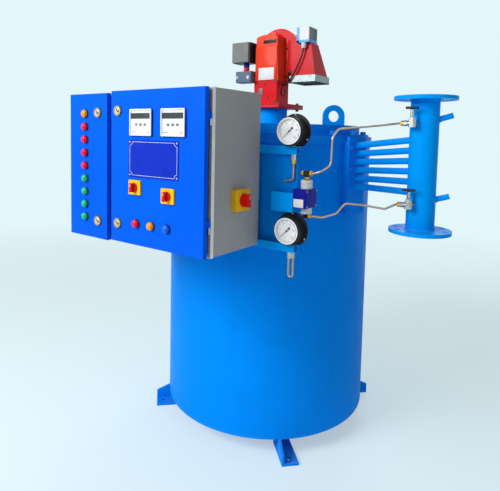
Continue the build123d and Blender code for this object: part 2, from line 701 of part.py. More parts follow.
def mounting_plate(x0, x1, z0, z1):
    """A plate inside a case, held off its back by four spacers."""
    back = PANEL_BACK - SHEET
    face = back - MOUNTING_STANDOFF
    x0, x1, z0, z1 = x0 + MOUNTING_MARGIN, x1 - MOUNTING_MARGIN, z0 + MOUNTING_MARGIN, z1 - MOUNTING_MARGIN
    plate = block(x0, x1, face - SHEET, face, z0, z1)
    for x in (x0 + SPACER_INSET, x1 - SPACER_INSET):
        for z in (z0 + SPACER_INSET, z1 - SPACER_INSET):
            plate += stud(x, z, face, back, SPACER_R)
    return plate


def door(x0, x1, z0, z1, cuts):
    """A door pan: one sheet with its edges turned back, cut out for its fittings."""
    pan = block(x0, x1, DOOR_FRONT, DOOR_BACK, z0, z1)
    pan = fillet(pan.faces().sort_by(Axis.Y)[0].edges(), DOOR_ROUND)
    pan -= block(x0 + SHEET, x1 - SHEET, DOOR_FRONT + SHEET, DOOR_BACK, z0 + SHEET, z1 - SHEET)
    for cut in cuts:
        pan -= cut
    return pan


def round_cuts(places, r):
    return [stud(x, z, DOOR_FRONT, DOOR_FRONT + SHEET, r + SEAT_GAP) for x, z in places]


def square_cuts(places, width, height):
    half_w, half_h = width / 2 + SEAT_GAP, height / 2 + SEAT_GAP
    return [block(x - half_w, x + half_w, DOOR_FRONT, DOOR_FRONT + SHEET, z - half_h, z + half_h)
            for x, z in places]


def knuckle_heights(z0, z1):
    return z0 + HINGE_INSET, z1 - HINGE_INSET


def door_knuckles(edge, side, z0, z1):
    """Tabs on a door's hinge edge, each with a bored knuckle on the hinge axis."""
    axis_x = edge + side * HINGE_OFFSET
    tab_x = sorted((edge, edge + side * SHEET))
    tabs = []
    for z in knuckle_heights(z0, z1):
        low = z + KNUCKLE_GAP
        tab = block(*tab_x, DOOR_FRONT + DOOR_THICK / 2, HINGE_Y, low, low + KNUCKLE_LENGTH)
        tab += post(axis_x, HINGE_Y, low, low + KNUCKLE_LENGTH, KNUCKLE_R)
        tab -= post(axis_x, HINGE_Y, low, low + KNUCKLE_LENGTH, HINGE_PIN_R + HINGE_CLEAR)
        tabs.append(tab)
    return tabs


def hinge_pins(edge, side, z0, z1):
    """Lower knuckles on a case's lip, each with the pin that carries the door."""
    axis_x = edge + side * HINGE_OFFSET
    leaf_x = sorted((axis_x - side * KNUCKLE_R, axis_x + side * (HINGE_OFFSET - HINGE_LEAF_SETBACK)))
    pins = []
    for z in knuckle_heights(z0, z1):
        pin = post(axis_x, HINGE_Y, z - KNUCKLE_LENGTH, z, KNUCKLE_R)
        pin += block(*leaf_x, HINGE_Y, PANEL_FRONT, z - KNUCKLE_LENGTH, z)
        pin += post(axis_x, HINGE_Y, z, z + KNUCKLE_LENGTH, HINGE_PIN_R)
        pins.append(pin)
    return pins


def panel_pieces():
    main_case = (MAIN_LEFT, MAIN_RIGHT, MAIN_BOTTOM, MAIN_TOP)
    lamp_case = (LAMP_LEFT, LAMP_RIGHT, LAMP_BOTTOM, LAMP_TOP)
    save("main_enclosure", enclosure(*main_case))
    save("lamp_enclosure", enclosure(*lamp_case))
    save("mounting_plates", mounting_plate(*main_case), mounting_plate(*lamp_case))

    inset = 2 * CONTROLLER_BODY_INSET
    cuts = round_cuts(PILOT_PLACES, LAMP_BARREL_R) + round_cuts(MAIN_LOCK_PLACES, LOCK_BARREL_R)
    cuts += square_cuts(CONTROLLER_PLACES, CONTROLLER_WIDTH - inset, CONTROLLER_HEIGHT - inset)
    cuts += square_cuts(SELECTOR_PLACES, SELECTOR_BODY, SELECTOR_BODY)
    main_edge = MAIN_RIGHT - DOOR_HINGE_SETBACK
    main_door = door(MAIN_LEFT + DOOR_EDGE_SETBACK, main_edge, MAIN_BOTTOM, MAIN_TOP, cuts)
    for tab in door_knuckles(main_edge, 1, MAIN_BOTTOM, MAIN_TOP):
        main_door += tab
    save("main_door", main_door)

    cuts = round_cuts(LAMP_PLACES, LAMP_BARREL_R) + round_cuts(LAMP_LOCK_PLACES, LOCK_BARREL_R)
    lamp_edge = LAMP_LEFT + DOOR_HINGE_SETBACK
    lamp_door = door(lamp_edge, LAMP_RIGHT - DOOR_EDGE_SETBACK, LAMP_BOTTOM, LAMP_TOP, cuts)
    for tab in door_knuckles(lamp_edge, -1, LAMP_BOTTOM, LAMP_TOP):
        lamp_door += tab
    save("lamp_door", lamp_door)
    pins = hinge_pins(main_edge, 1, MAIN_BOTTOM, MAIN_TOP) + hinge_pins(lamp_edge, -1, LAMP_BOTTOM, LAMP_TOP)
    save("hinge_pins", *pins)


def lamp_form():
    """A pilot lamp on +Z: bezel and rounded lens before the sheet, barrel and nut behind it."""
    bezel = post(0, 0, 0, LAMP_BEZEL_THICK, LAMP_BEZEL_R)
    bezel = chamfer(bezel.edges().sort_by(Axis.Z)[-1:], LAMP_BEZEL_EDGE)
    lens = post(0, 0, 0, LAMP_LENS_REACH, LAMP_LENS_R)
    lens = fillet(lens.edges().sort_by(Axis.Z)[-1:], LAMP_LENS_ROUND)
    barrel = post(0, 0, -LAMP_BARREL_LENGTH, 0, LAMP_BARREL_R)
    nut = hex_bar((0, 0, -SHEET - LAMP_NUT_THICK), (0, 0, -SHEET), LAMP_NUT_R)
    return bezel + lens + barrel + nut


def lock_form():
    """A quarter-turn lock on +Z: a collar round a key bit, with its barrel behind the sheet."""
    collar = post(0, 0, 0, LOCK_REACH, LOCK_R) - post(0, 0, LOCK_REACH - LOCK_WELL_DEPTH, LOCK_REACH, LOCK_WELL_R)
    bit = post(0, 0, 0, LOCK_REACH, LOCK_BIT_R)
    return collar + bit + post(0, 0, -LOCK_BARREL_LENGTH, 0, LOCK_BARREL_R)


def knob(r, thick, grip, seat):
    """A turning knob on +Z: a disc, a grip bar across it and a spindle as deep as its seat."""
    width, reach = grip
    top = KNOB_LIFT + thick + reach
    piece = post(0, 0, KNOB_LIFT, KNOB_LIFT + thick, r)
    piece += block(-r, r, -width / 2, width / 2, KNOB_LIFT, top) & post(0, 0, 0, top, r)
    return piece + post(0, 0, KNOB_LIFT - seat, KNOB_LIFT, KNOB_SPINDLE_R)


def controller_form():
    """A panel controller on +Z: a framed face before the sheet and its case behind it."""
    frame = extrude(RectangleRounded(CONTROLLER_WIDTH, CONTROLLER_HEIGHT, CONTROLLER_ROUND), CONTROLLER_REACH)
    inset = 2 * CONTROLLER_FRAME
    window = Rectangle(CONTROLLER_WIDTH - inset, CONTROLLER_HEIGHT - inset)
    frame -= extrude(Pos(0, 0, CONTROLLER_REACH - CONTROLLER_FACE_DEPTH) * window, CONTROLLER_FACE_DEPTH)
    inset = 2 * CONTROLLER_BODY_INSET
    case = Rectangle(CONTROLLER_WIDTH - inset, CONTROLLER_HEIGHT - inset)
    return frame + extrude(case, -CONTROLLER_BODY_DEPTH)


def selector_form():
    """A switch on +Z: a front plate with a bore for the knob's spindle, contacts behind it."""
    plate = extrude(RectangleRounded(SELECTOR_WIDTH, SELECTOR_HEIGHT, CONTROLLER_ROUND), SELECTOR_THICK)
    plate -= post(0, 0, 0, SELECTOR_THICK, KNOB_SPINDLE_R + KNOB_SPINDLE_CLEAR)
    return plate + extrude(Rectangle(SELECTOR_BODY, SELECTOR_BODY), -SELECTOR_BODY_DEPTH)


def on_door(places, form):
    """Copies of a fitting at places on the door's front face."""
    return [facing(x, DOOR_FRONT, z).location * form for x, z in places]


def door_fittings():
    save("indicator_lamps", *on_door(LAMP_PLACES, lamp_form()))
    save("pilot_lamps", *on_door(PILOT_PLACES, lamp_form()))
    save("lamp_door_locks", *on_door(LAMP_LOCK_PLACES, lock_form()))
    save("main_door_locks", *on_door(MAIN_LOCK_PLACES, lock_form()))
    save("controllers", *on_door(CONTROLLER_PLACES, controller_form()))
    plate = extrude(RectangleRounded(PLATE_WIDTH, PLATE_HEIGHT, PLATE_ROUND), PLATE_THICK)
    save("blank_plate", *on_door([(MAIN_MID + PLATE_SHIFT, PLATE_Z)], plate))

    save("selector_plates", *on_door(SELECTOR_PLACES, selector_form()))
    for (x, z), name in zip(SELECTOR_PLACES, ("selector_knob_left", "selector_knob_right")):
        front = Plane(origin=(x, DOOR_FRONT - SELECTOR_THICK, z), x_dir=(0, 0, 1), z_dir=(0, -1, 0))
        turn = knob(SELECTOR_KNOB_R, SELECTOR_KNOB_THICK, SELECTOR_GRIP, SELECTOR_THICK)
        save(name, front.location * turn)

    reach, width, height = ISOLATOR_BOX
    tip = MAIN_RIGHT + reach
    box = block(MAIN_RIGHT, tip, ISOLATOR_Y - width / 2, ISOLATOR_Y + width / 2,
                ISOLATOR_Z - height / 2, ISOLATOR_Z + height / 2)
    box = fillet(box.edges().filter_by(Axis.X) + box.faces().sort_by(Axis.X)[-1].edges(), CONTROLLER_ROUND)
    box -= rod((MAIN_RIGHT, ISOLATOR_Y, ISOLATOR_Z), (tip, ISOLATOR_Y, ISOLATOR_Z),
               KNOB_SPINDLE_R + KNOB_SPINDLE_CLEAR)
    save("isolator_box", box)
    front = Plane(origin=(tip, ISOLATOR_Y, ISOLATOR_Z), x_dir=(0, 0, 1), z_dir=(1, 0, 0))
    save("isolator_knob", front.location * knob(ISOLATOR_KNOB_R, ISOLATOR_KNOB_THICK, ISOLATOR_GRIP, reach))


def rail_pieces():
    stem_hole = GAUGE_STEM_R + GAUGE_STEM_CLEAR
    rails, posts = [], []
    for z in (RAIL_LOWER_Z, RAIL_UPPER_Z):
        rail = block(LAMP_LEFT, RAIL_RIGHT, PANEL_BACK, RAIL_BACK, z, z + RAIL)
        rail -= block(LAMP_LEFT, RAIL_RIGHT, PANEL_BACK + RAIL_WALL, RAIL_BACK - RAIL_WALL,
                      z + RAIL_WALL, z + RAIL - RAIL_WALL)
        rail -= post(GAUGE_X, RAIL_MID_Y, z, z + RAIL, stem_hole)
        rails.append(rail)
        for x in (-POST_SPACING / 2, POST_SPACING / 2):
            arm = block(x - RAIL / 2, x + RAIL / 2, RAIL_BACK, 0, z, z + RAIL)
            posts.append(arm - post(0, 0, z, z + RAIL, SHELL_R + SEAT_GAP))
    save("panel_rails", *rails)
    save("rail_posts", *posts)
    save("backing_plate", block(LAMP_LEFT, BACKING_RIGHT, BACKING_FRONT, BACKING_FRONT + BACKING_THICK,
                                RAIL_LOWER_Z + RAIL, RAIL_UPPER_Z))


def gauge_case(z, floor):
    """A round gauge case with a chamfered bezel, ribbed sides, a back flange and a recess for the dial."""
    case = stud(GAUGE_X, z, GAUGE_FRONT, GAUGE_BACK, GAUGE_R)
    case = chamfer(case.edges().filter_by(GeomType.CIRCLE).sort_by(Axis.Y)[:1], GAUGE_BEZEL_EDGE)
    for index in range(GAUGE_RIB_COUNT):
        y = GAUGE_FRONT + GAUGE_RIB_START + index * GAUGE_RIB_PITCH
        groove = stud(GAUGE_X, z, y, y + GAUGE_GROOVE_WIDTH, GAUGE_FLANGE_R)
        case -= groove - stud(GAUGE_X, z, y, y + GAUGE_GROOVE_WIDTH, GAUGE_R - GAUGE_GROOVE_DEPTH)
    case += stud(GAUGE_X, z, GAUGE_BACK, GAUGE_BACK - GAUGE_FLANGE_THICK, GAUGE_FLANGE_R)
    case -= block(GAUGE_X - GAUGE_FLANGE_R, GAUGE_X + GAUGE_FLANGE_R, GAUGE_FRONT, GAUGE_BACK,
                  z - GAUGE_FLANGE_R, floor)
    return case - stud(GAUGE_X, z, GAUGE_FRONT, GAUGE_FRONT + GAUGE_DIAL_DEPTH, GAUGE_DIAL_R)


def gauge_pieces():
    cases, dials, fittings, tails = [], [], [], []
    for rail_z in (RAIL_UPPER_Z, RAIL_LOWER_Z):
        seat = rail_z + RAIL + GAUGE_STEM_RISE
        z = seat + GAUGE_R
        stem_top = seat + GAUGE_NUT_R
        case = gauge_case(z, seat - GAUGE_STEM_RISE / 2)
        cases.append(case - post(GAUGE_X, RAIL_MID_Y, rail_z, stem_top, GAUGE_STEM_R + SEAT_GAP))
        dial = GAUGE_FRONT + GAUGE_DIAL_DEPTH
        dials.append(stud(GAUGE_X, z, dial, dial - GAUGE_DIAL_THICK, GAUGE_DIAL_R - SEAT_GAP))
        nut = rail_z - GAUGE_NUT_HEIGHT
        stem = post(GAUGE_X, RAIL_MID_Y, nut, stem_top, GAUGE_STEM_R)
        fittings.append(stem + hex_bar((GAUGE_X, RAIL_MID_Y, nut), (GAUGE_X, RAIL_MID_Y, rail_z), GAUGE_NUT_R))
    top = RAIL_UPPER_Z - GAUGE_NUT_HEIGHT
    tails.append(bent_tube([(GAUGE_X, RAIL_MID_Y, top), (GAUGE_X, RAIL_MID_Y, top - TAIL_DROP),
                            (GAUGE_X - TAIL_RUN, RAIL_MID_Y, top - TAIL_DROP - TAIL_R)], TAIL_R, TAIL_BEND))
    nut = RAIL_LOWER_Z - GAUGE_NUT_HEIGHT
    low = nut - LOOP_DROP
    left, right = GAUGE_X - LOOP_R, GAUGE_X + LOOP_R
    leg = Line((left, RAIL_MID_Y, nut), (left, RAIL_MID_Y, low))
    turn = ThreePointArc((left, RAIL_MID_Y, low), (GAUGE_X, RAIL_MID_Y, low - LOOP_R), (right, RAIL_MID_Y, low))
    back_leg = Line((right, RAIL_MID_Y, low), (right, RAIL_MID_Y, nut))
    start = Plane(origin=(left, RAIL_MID_Y, nut), z_dir=(0, 0, -1))
    tails.append(sweep(start * Circle(TAIL_R), leg + turn + back_leg))
    fittings[1] += post(GAUGE_X, RAIL_MID_Y, nut, RAIL_LOWER_Z, LOOP_R + TAIL_R + LOOP_NUT_EDGE)
    save("gauge_cases", *cases)
    save("gauge_dials", *dials)
    save("gauge_fittings", *fittings)
    save("gauge_tails", *tails)


def switch_pieces():
    bracket_mid = SWITCH_Z - BRACKET_DROP
    low, top = bracket_mid - BRACKET_HEIGHT / 2, bracket_mid + BRACKET_HEIGHT / 2
    bracket = block(SWITCH_LEFT - BRACKET_WIDTH, SWITCH_LEFT, BRACKET_FRONT, BRACKET_FRONT + BRACKET_THICK, low, top)
    bracket += block(SWITCH_LEFT - BRACKET_THICK, SWITCH_LEFT, BRACKET_FRONT, BACKING_FRONT, low, top)
    save("switch_bracket", bracket)
    body = block(SWITCH_LEFT, SWITCH_LEFT + SWITCH_WIDTH, BRACKET_FRONT, BRACKET_FRONT + SWITCH_DEPTH,
                 SWITCH_BOTTOM, SWITCH_TOP)
    save("switch_body", fillet(body.faces().sort_by(Axis.X)[-1].edges(), SWITCH_ROUND))
    cap_top = SWITCH_TOP + SWITCH_CAP_TOP
    cap_bottom = SWITCH_BOTTOM - SWITCH_CAP_BOTTOM
    upper = post(SWITCH_X, SWITCH_PORT_Y, SWITCH_TOP, cap_top, SWITCH_CAP_R)
    lower = post(SWITCH_X, SWITCH_PORT_Y, cap_bottom, SWITCH_BOTTOM, SWITCH_CAP_R)
    save("switch_caps", chamfer(upper.edges().sort_by(Axis.Z)[-1:], SWITCH_CAP_EDGE),
         chamfer(lower.edges().sort_by(Axis.Z)[:1], SWITCH_CAP_EDGE))
    elbow_z = cap_top + SWITCH_PORT_RISE
    half = SWITCH_ELBOW / 2
    elbow = post(SWITCH_X, SWITCH_PORT_Y, cap_top, elbow_z + half, SWITCH_PORT_R)
    elbow += block(SWITCH_X - half, SWITCH_X + half, SWITCH_PORT_Y - half, SWITCH_PORT_Y + half,
                   elbow_z, elbow_z + SWITCH_ELBOW)
    half = SWITCH_LOWER_ELBOW / 2
    lower = block(SWITCH_X - half, SWITCH_X + half, SWITCH_PORT_Y - half, SWITCH_PORT_Y + half,
                  cap_bottom - SWITCH_LOWER_ELBOW, cap_bottom)
    save("switch_ports", elbow, lower)


def burner_block():
    """The casting on the flange, wider at its shoulder, with a sight port on its right."""
    shoulder = BLOCK_TOP - BLOCK_SHOULDER_HEIGHT
    body = block(BLOCK_LEFT, BLOCK_RIGHT, BLOCK_FRONT, BLOCK_BACK, BLOCK_BOTTOM, BLOCK_TOP)
    body += block(BLOCK_SHOULDER_LEFT, BLOCK_RIGHT, BLOCK_FRONT, BLOCK_BACK, shoulder, BLOCK_TOP)
    body = fillet(body.edges().filter_by(Axis.Z).group_by(Axis.X)[-1], BLOCK_ROUND)
    port_y, port_z = (BLOCK_FRONT + BLOCK_BACK) / 2, BLOCK_BOTTOM + PORT_RISE
    tip = BLOCK_RIGHT + PORT_REACH
    port = rod((BLOCK_RIGHT, port_y, port_z), (tip, port_y, port_z), PORT_R)
    return body + port - rod((BLOCK_RIGHT, port_y, port_z), (tip, port_y, port_z), PORT_EYE_R)


def cover_outline():
    """The front cover's outline, narrower at its crowned top."""
    half, top_half = COVER_WIDTH / 2, COVER_TOP_WIDTH / 2
    shoulder = COVER_TOP - COVER_CROWN
    sides = Polyline((top_half, shoulder), (half, BLOCK_TOP), (-half, BLOCK_TOP), (-top_half, shoulder))
    crown = ThreePointArc((-top_half, shoulder), (0, COVER_TOP), (top_half, shoulder))
    return fillet(make_face(sides + crown).vertices().group_by(Axis.Y)[-1], COVER_ROUND)


def burner_cover():
    """The front cover with a slot in its face and an ear above."""
    cover = extrude(facing(0, COVER_BACK, 0) * cover_outline(), COVER_DEPTH)
    cover = fillet(cover.faces().sort_by(Axis.Y)[0].edges().group_by(Axis.Z)[1:], COVER_ROUND / 2)
    slot_z = COVER_TOP - SLOT_DROP
    cover -= block(SLOT_X - SLOT_WIDTH / 2, SLOT_X + SLOT_WIDTH / 2, COVER_FRONT, COVER_FRONT + SLOT_DEPTH,
                   slot_z - SLOT_HEIGHT / 2, slot_z + SLOT_HEIGHT / 2)
    eye = EAR_RISE - EAR_WIDTH / 2
    ear = Pos(0, (eye - COVER_ROUND) / 2) * Rectangle(EAR_WIDTH, eye + COVER_ROUND)
    ear += Pos(0, eye) * Circle(EAR_WIDTH / 2)
    ear -= Pos(0, eye) * Circle(EAR_HOLE_R)
    place = facing(EAR_X, COVER_FRONT + EAR_SETBACK + EAR_THICK, COVER_TOP - COVER_CROWN)
    return cover + extrude(place * ear, EAR_THICK)


def scroll_outline():
    """The fan scroll about its shaft, a spiral of quarter arcs that opens down into the block."""
    corner = cos(radians(45.0))
    after, last = FAN_R - SCROLL_STEP, FAN_R - 2 * SCROLL_STEP
    left, top = (-FAN_R, 0), (0, FAN_R)
    right, bottom = (after, SCROLL_STEP), (SCROLL_STEP, SCROLL_STEP - last)
    spiral = ThreePointArc(left, (-FAN_R * corner, FAN_R * corner), top)
    spiral += ThreePointArc(top, (after * corner, SCROLL_STEP + after * corner), right)
    spiral += ThreePointArc(right, (SCROLL_STEP + last * corner, SCROLL_STEP - last * corner), bottom)
    mouth = Polyline(left, (BLOCK_SHOULDER_LEFT - FAN_X, -FAN_RISE), (BLOCK_RIGHT - FAN_X, -FAN_RISE),
                     (BLOCK_RIGHT - FAN_X, 0), close=True)
    return make_face(spiral + Line(bottom, left)) + make_face(mouth)


def fan_pieces():
    scroll = scroll_outline()
    fan = extrude(facing(FAN_X, FAN_BACK, FAN_Z) * scroll, FAN_DEPTH)
    fan = fillet(fan.faces().sort_by(Axis.Y)[-1].edges(), FAN_ROUND)
    half = COVER_WIDTH / 2 + RIM_MARGIN
    rim = block(-half, half, COVER_BACK, COVER_BACK + RIM_THICK, BLOCK_TOP, COVER_TOP)
    fan += fillet(rim.edges().filter_by(Axis.Y).group_by(Axis.Z)[-1], RIM_ROUND)
    save("fan_housing", fan)

    motor = stud(FAN_X, FAN_Z, FAN_BACK, FAN_BACK + MOTOR_LENGTH, MOTOR_R)
    motor = fillet(motor.edges().filter_by(GeomType.CIRCLE).sort_by(Axis.Y)[-1:], MOTOR_ROUND)
    motor += stud(FAN_X, FAN_Z, FAN_BACK, FAN_BACK + MOTOR_FLANGE_THICK, MOTOR_FLANGE_R)
    fin = block(0, MOTOR_R + MOTOR_FIN_HEIGHT, FAN_BACK + MOTOR_FIN_MARGIN, FAN_BACK + MOTOR_LENGTH - MOTOR_FIN_MARGIN,
                -MOTOR_FIN_THICK / 2, MOTOR_FIN_THICK / 2)
    for index in range(MOTOR_FIN_COUNT):
        motor += Pos(FAN_X, 0, FAN_Z) * Rot(0, index * 360.0 / MOTOR_FIN_COUNT, 0) * fin
    save("fan_motor", motor)

    room = extrude(facing(FAN_X, FAN_BACK + HOOD_BOTTOM_DEPTH, FAN_Z) * offset(scroll, SEAT_GAP),
                   FAN_DEPTH + HOOD_BOTTOM_DEPTH + SEAT_GAP)
    hood = hood_form(0, HOOD_TOP) - hood_form(HOOD_WALL, HOOD_TOP - HOOD_ROOF)
    save("intake_hood", hood - room)
    x0, x1 = HOOD_LEFT - SKIRT_OUT, HOOD_RIGHT + SKIRT_OUT
    y0, y1 = HOOD_FRONT - SKIRT_OUT, HOOD_FRONT + HOOD_BOTTOM_DEPTH + SKIRT_OUT
    skirt = block(x0, x1, y0, y1, SKIRT_BOTTOM, HOOD_BOTTOM)
    skirt -= block(x0 + SKIRT_WALL, x1 - SKIRT_WALL, y0 + SKIRT_WALL, y1 - SKIRT_WALL,
                   SKIRT_BOTTOM, HOOD_BOTTOM - SKIRT_WALL)
    skirt -= block(HOOD_LEFT + HOOD_WALL, HOOD_RIGHT - HOOD_WALL, HOOD_FRONT + HOOD_WALL,
                   HOOD_FRONT + HOOD_BOTTOM_DEPTH - HOOD_WALL, SKIRT_BOTTOM, HOOD_BOTTOM)
    save("intake_skirt", skirt - room)


def hood_form(wall, top):
    """The tapered intake hood, shrunk by a wall and cut off at a height."""
    share = (top - HOOD_BOTTOM) / HOOD_HEIGHT
    right = HOOD_RIGHT - share * HOOD_TAPER
    depth = HOOD_BOTTOM_DEPTH + share * (HOOD_TOP_DEPTH - HOOD_BOTTOM_DEPTH)
    ends = []
    for z, edge, deep in ((HOOD_BOTTOM, HOOD_RIGHT, HOOD_BOTTOM_DEPTH), (top, right, depth)):
        section = Rectangle(edge - HOOD_LEFT - 2 * wall, deep - 2 * wall)
        ends.append((Pos((HOOD_LEFT + edge) / 2, HOOD_FRONT + deep / 2, z) * section).face())
    return loft(ends)


def pressure_switch_pieces():
    width, depth, height = PRESSURE_BOX
    left, front = HOOD_LEFT + PRESSURE_INSET, HOOD_FRONT - PRESSURE_FORWARD
    switch = block(left, left + width, front, front + depth, HOOD_TOP, HOOD_TOP + height)
    switch = fillet(switch.edges().filter_by(Axis.Z), PRESSURE_ROUND)
    gland_x, gland_y = left + width / 2, front + GLAND_SETBACK
    gland_low = HOOD_TOP - GLAND_LENGTH
    switch += post(gland_x, gland_y, gland_low, HOOD_TOP, GLAND_R)
    save("air_pressure_switch", switch)
    lead_y = HOOD_FRONT - SKIRT_OUT - LEAD_CLEAR
    end = (BLOCK_RIGHT, HOOD_FRONT, BLOCK_TOP - LEAD_END_DROP)
    points = [(gland_x, gland_y, gland_low), (gland_x, gland_y, gland_low - LEAD_RUN)]
    points += [(gland_x + out, lead_y, HOOD_BOTTOM + rise) for out, rise in LEAD_BENDS]
    points += [shifted(end, (LEAD_RUN, 0, 0)), end]
    save("switch_lead", bent_tube(points, LEAD_R, LEAD_BEND))


def control_pieces():
    """The burner's control box with its lid, and the fuel valve below it."""
    right = -COVER_WIDTH / 2 - CONTROL_GAP
    left = right - CONTROL_WIDTH
    front = COVER_FRONT - CONTROL_FORWARD
    back = front + CONTROL_DEPTH
    low = BLOCK_TOP + CONTROL_RISE
    top = low + CONTROL_HEIGHT
    split = front + CONTROL_LID
    box = block(left, right, split, back, low, top)
    box = fillet(box.edges().filter_by(Axis.Y), CONTROL_ROUND)
    box += block(right - CONTROL_ROUND, 0, COVER_FRONT + CONTROL_FOOT_INSET, back,
                 low + CONTROL_FOOT_INSET, top - CONTROL_FOOT_INSET)
    box -= extrude(facing(0, COVER_BACK, 0) * offset(cover_outline(), SEAT_GAP), COVER_DEPTH)
    save("burner_control_box", box)
    step = CONTROL_LID_STEP
    lid = block(left + step, right - step, front, split, low + step, top - step)
    lid = fillet(lid.edges().filter_by(Axis.Y), CONTROL_ROUND)
    save("control_box_lid", fillet(lid.faces().sort_by(Axis.Y)[0].edges(), CONTROL_LID_ROUND))

    fuel_left = BLOCK_SHOULDER_LEFT - FUEL_REACH
    fuel_front = BLOCK_FRONT - FUEL_FORWARD
    fuel_low = BLOCK_TOP - FUEL_DROP
    fuel_top = fuel_low + FUEL_HEIGHT
    valve = block(fuel_left, BLOCK_SHOULDER_LEFT, fuel_front, fuel_front + FUEL_DEPTH, fuel_low, fuel_top)
    valve = fillet(valve.edges().filter_by(Axis.X), FUEL_ROUND)
    valve += post((fuel_left + BLOCK_SHOULDER_LEFT) / 2, fuel_front + FUEL_DEPTH / 2, fuel_top, low, CONNECTOR_R)
    save("fuel_valve", valve)


def burner_pieces():
    half = NECK_PLATE / 2
    save("burner_flange", block(-half, half, -half, half, NECK_PLATE_TOP, BLOCK_BOTTOM))
    save("burner_block", burner_block())
    save("burner_cover", burner_cover())
    fan_pieces()
    pressure_switch_pieces()
    control_pieces()


def main():
    os.makedirs("parts", exist_ok=True)
    shell_pieces()
    neck_piece()
    lug_pieces()
    foot_pieces()
    branch_pieces()
    header_pieces()
    valve_pieces()
    line_pieces()
    panel_pieces()
    door_fittings()
    rail_pieces()
    gauge_pieces()
    switch_pieces()
    burner_pieces()


main()
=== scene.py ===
"""Finishes and small hardware for an upright coil boiler with its control panel, instruments and burner.

Run as a script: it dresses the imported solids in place, in metres, and sets the stage for a picture of them.
"""

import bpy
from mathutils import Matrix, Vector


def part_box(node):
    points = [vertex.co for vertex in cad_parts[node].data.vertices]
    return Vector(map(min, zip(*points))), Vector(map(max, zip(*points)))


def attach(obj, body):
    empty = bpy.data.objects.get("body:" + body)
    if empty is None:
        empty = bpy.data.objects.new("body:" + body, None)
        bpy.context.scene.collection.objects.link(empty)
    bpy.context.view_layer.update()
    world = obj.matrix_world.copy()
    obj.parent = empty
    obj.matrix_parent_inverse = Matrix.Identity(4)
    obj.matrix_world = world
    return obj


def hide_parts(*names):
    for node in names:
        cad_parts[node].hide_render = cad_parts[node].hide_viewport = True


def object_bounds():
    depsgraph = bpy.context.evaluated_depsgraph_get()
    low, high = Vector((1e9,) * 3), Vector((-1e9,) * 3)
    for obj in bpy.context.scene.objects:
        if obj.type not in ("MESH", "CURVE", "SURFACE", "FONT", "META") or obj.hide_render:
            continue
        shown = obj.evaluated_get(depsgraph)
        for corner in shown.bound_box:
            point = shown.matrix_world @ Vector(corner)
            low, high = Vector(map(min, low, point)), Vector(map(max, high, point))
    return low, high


bl_info = {
    "name": "Coil boiler dressing",
    "version": (1, 0, 0),
    "blender": (4, 5, 0),
    "location": "3D View > Sidebar > Boiler",
    "description": "Paints, seals, screws, lamps, dials and welds for an upright coil boiler",
    "category": "Object",
}

from math import atan2, cos, pi, radians, sin, sqrt, tau

import bmesh
import bpy
from bpy.props import FloatProperty, FloatVectorProperty, IntProperty, PointerProperty
from mathutils import Matrix, Vector

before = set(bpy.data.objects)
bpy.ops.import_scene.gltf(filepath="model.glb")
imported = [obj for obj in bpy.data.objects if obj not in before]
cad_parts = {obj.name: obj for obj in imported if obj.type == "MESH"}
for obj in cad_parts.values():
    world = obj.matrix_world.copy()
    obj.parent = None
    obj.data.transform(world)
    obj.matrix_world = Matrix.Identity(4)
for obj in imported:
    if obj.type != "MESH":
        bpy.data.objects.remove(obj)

# Places read from the solids
CAD_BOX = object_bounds()
BOXES = {name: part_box(name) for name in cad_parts}

MM = 0.001
UP = Vector((0, 0, 1))
DOWN = Vector((0, 0, -1))
FRONT = Vector((0, -1, 0))
REAR = Vector((0, 1, 0))
LEFT = Vector((-1, 0, 0))
RIGHT = Vector((1, 0, 0))
SMOOTH_ANGLE = radians(35)
WELD_GAP = 0.00001


def low(node):
    return BOXES[node][0]


def high(node):
    return BOXES[node][1]


def middle(node):
    return (low(node) + high(node)) / 2


def mm(*points):
    """Points given in millimetres, in metres."""
    return [tuple(value * MM for value in point) for point in points]


DOOR_FACE = low("main_door").y
CASE_FACE = low("main_enclosure").y
BRANCH_TURN = Matrix.Rotation(radians(-12), 4, "Z")
HEADER_AXIS = middle("header_pipe")
HEADER_R = 54 * MM
TUBE_R = 13.45 * MM
TUBE_COUNT = 6
COVER_PLATE_FACE = 535 * MM


# Sizes and colours that a user may change

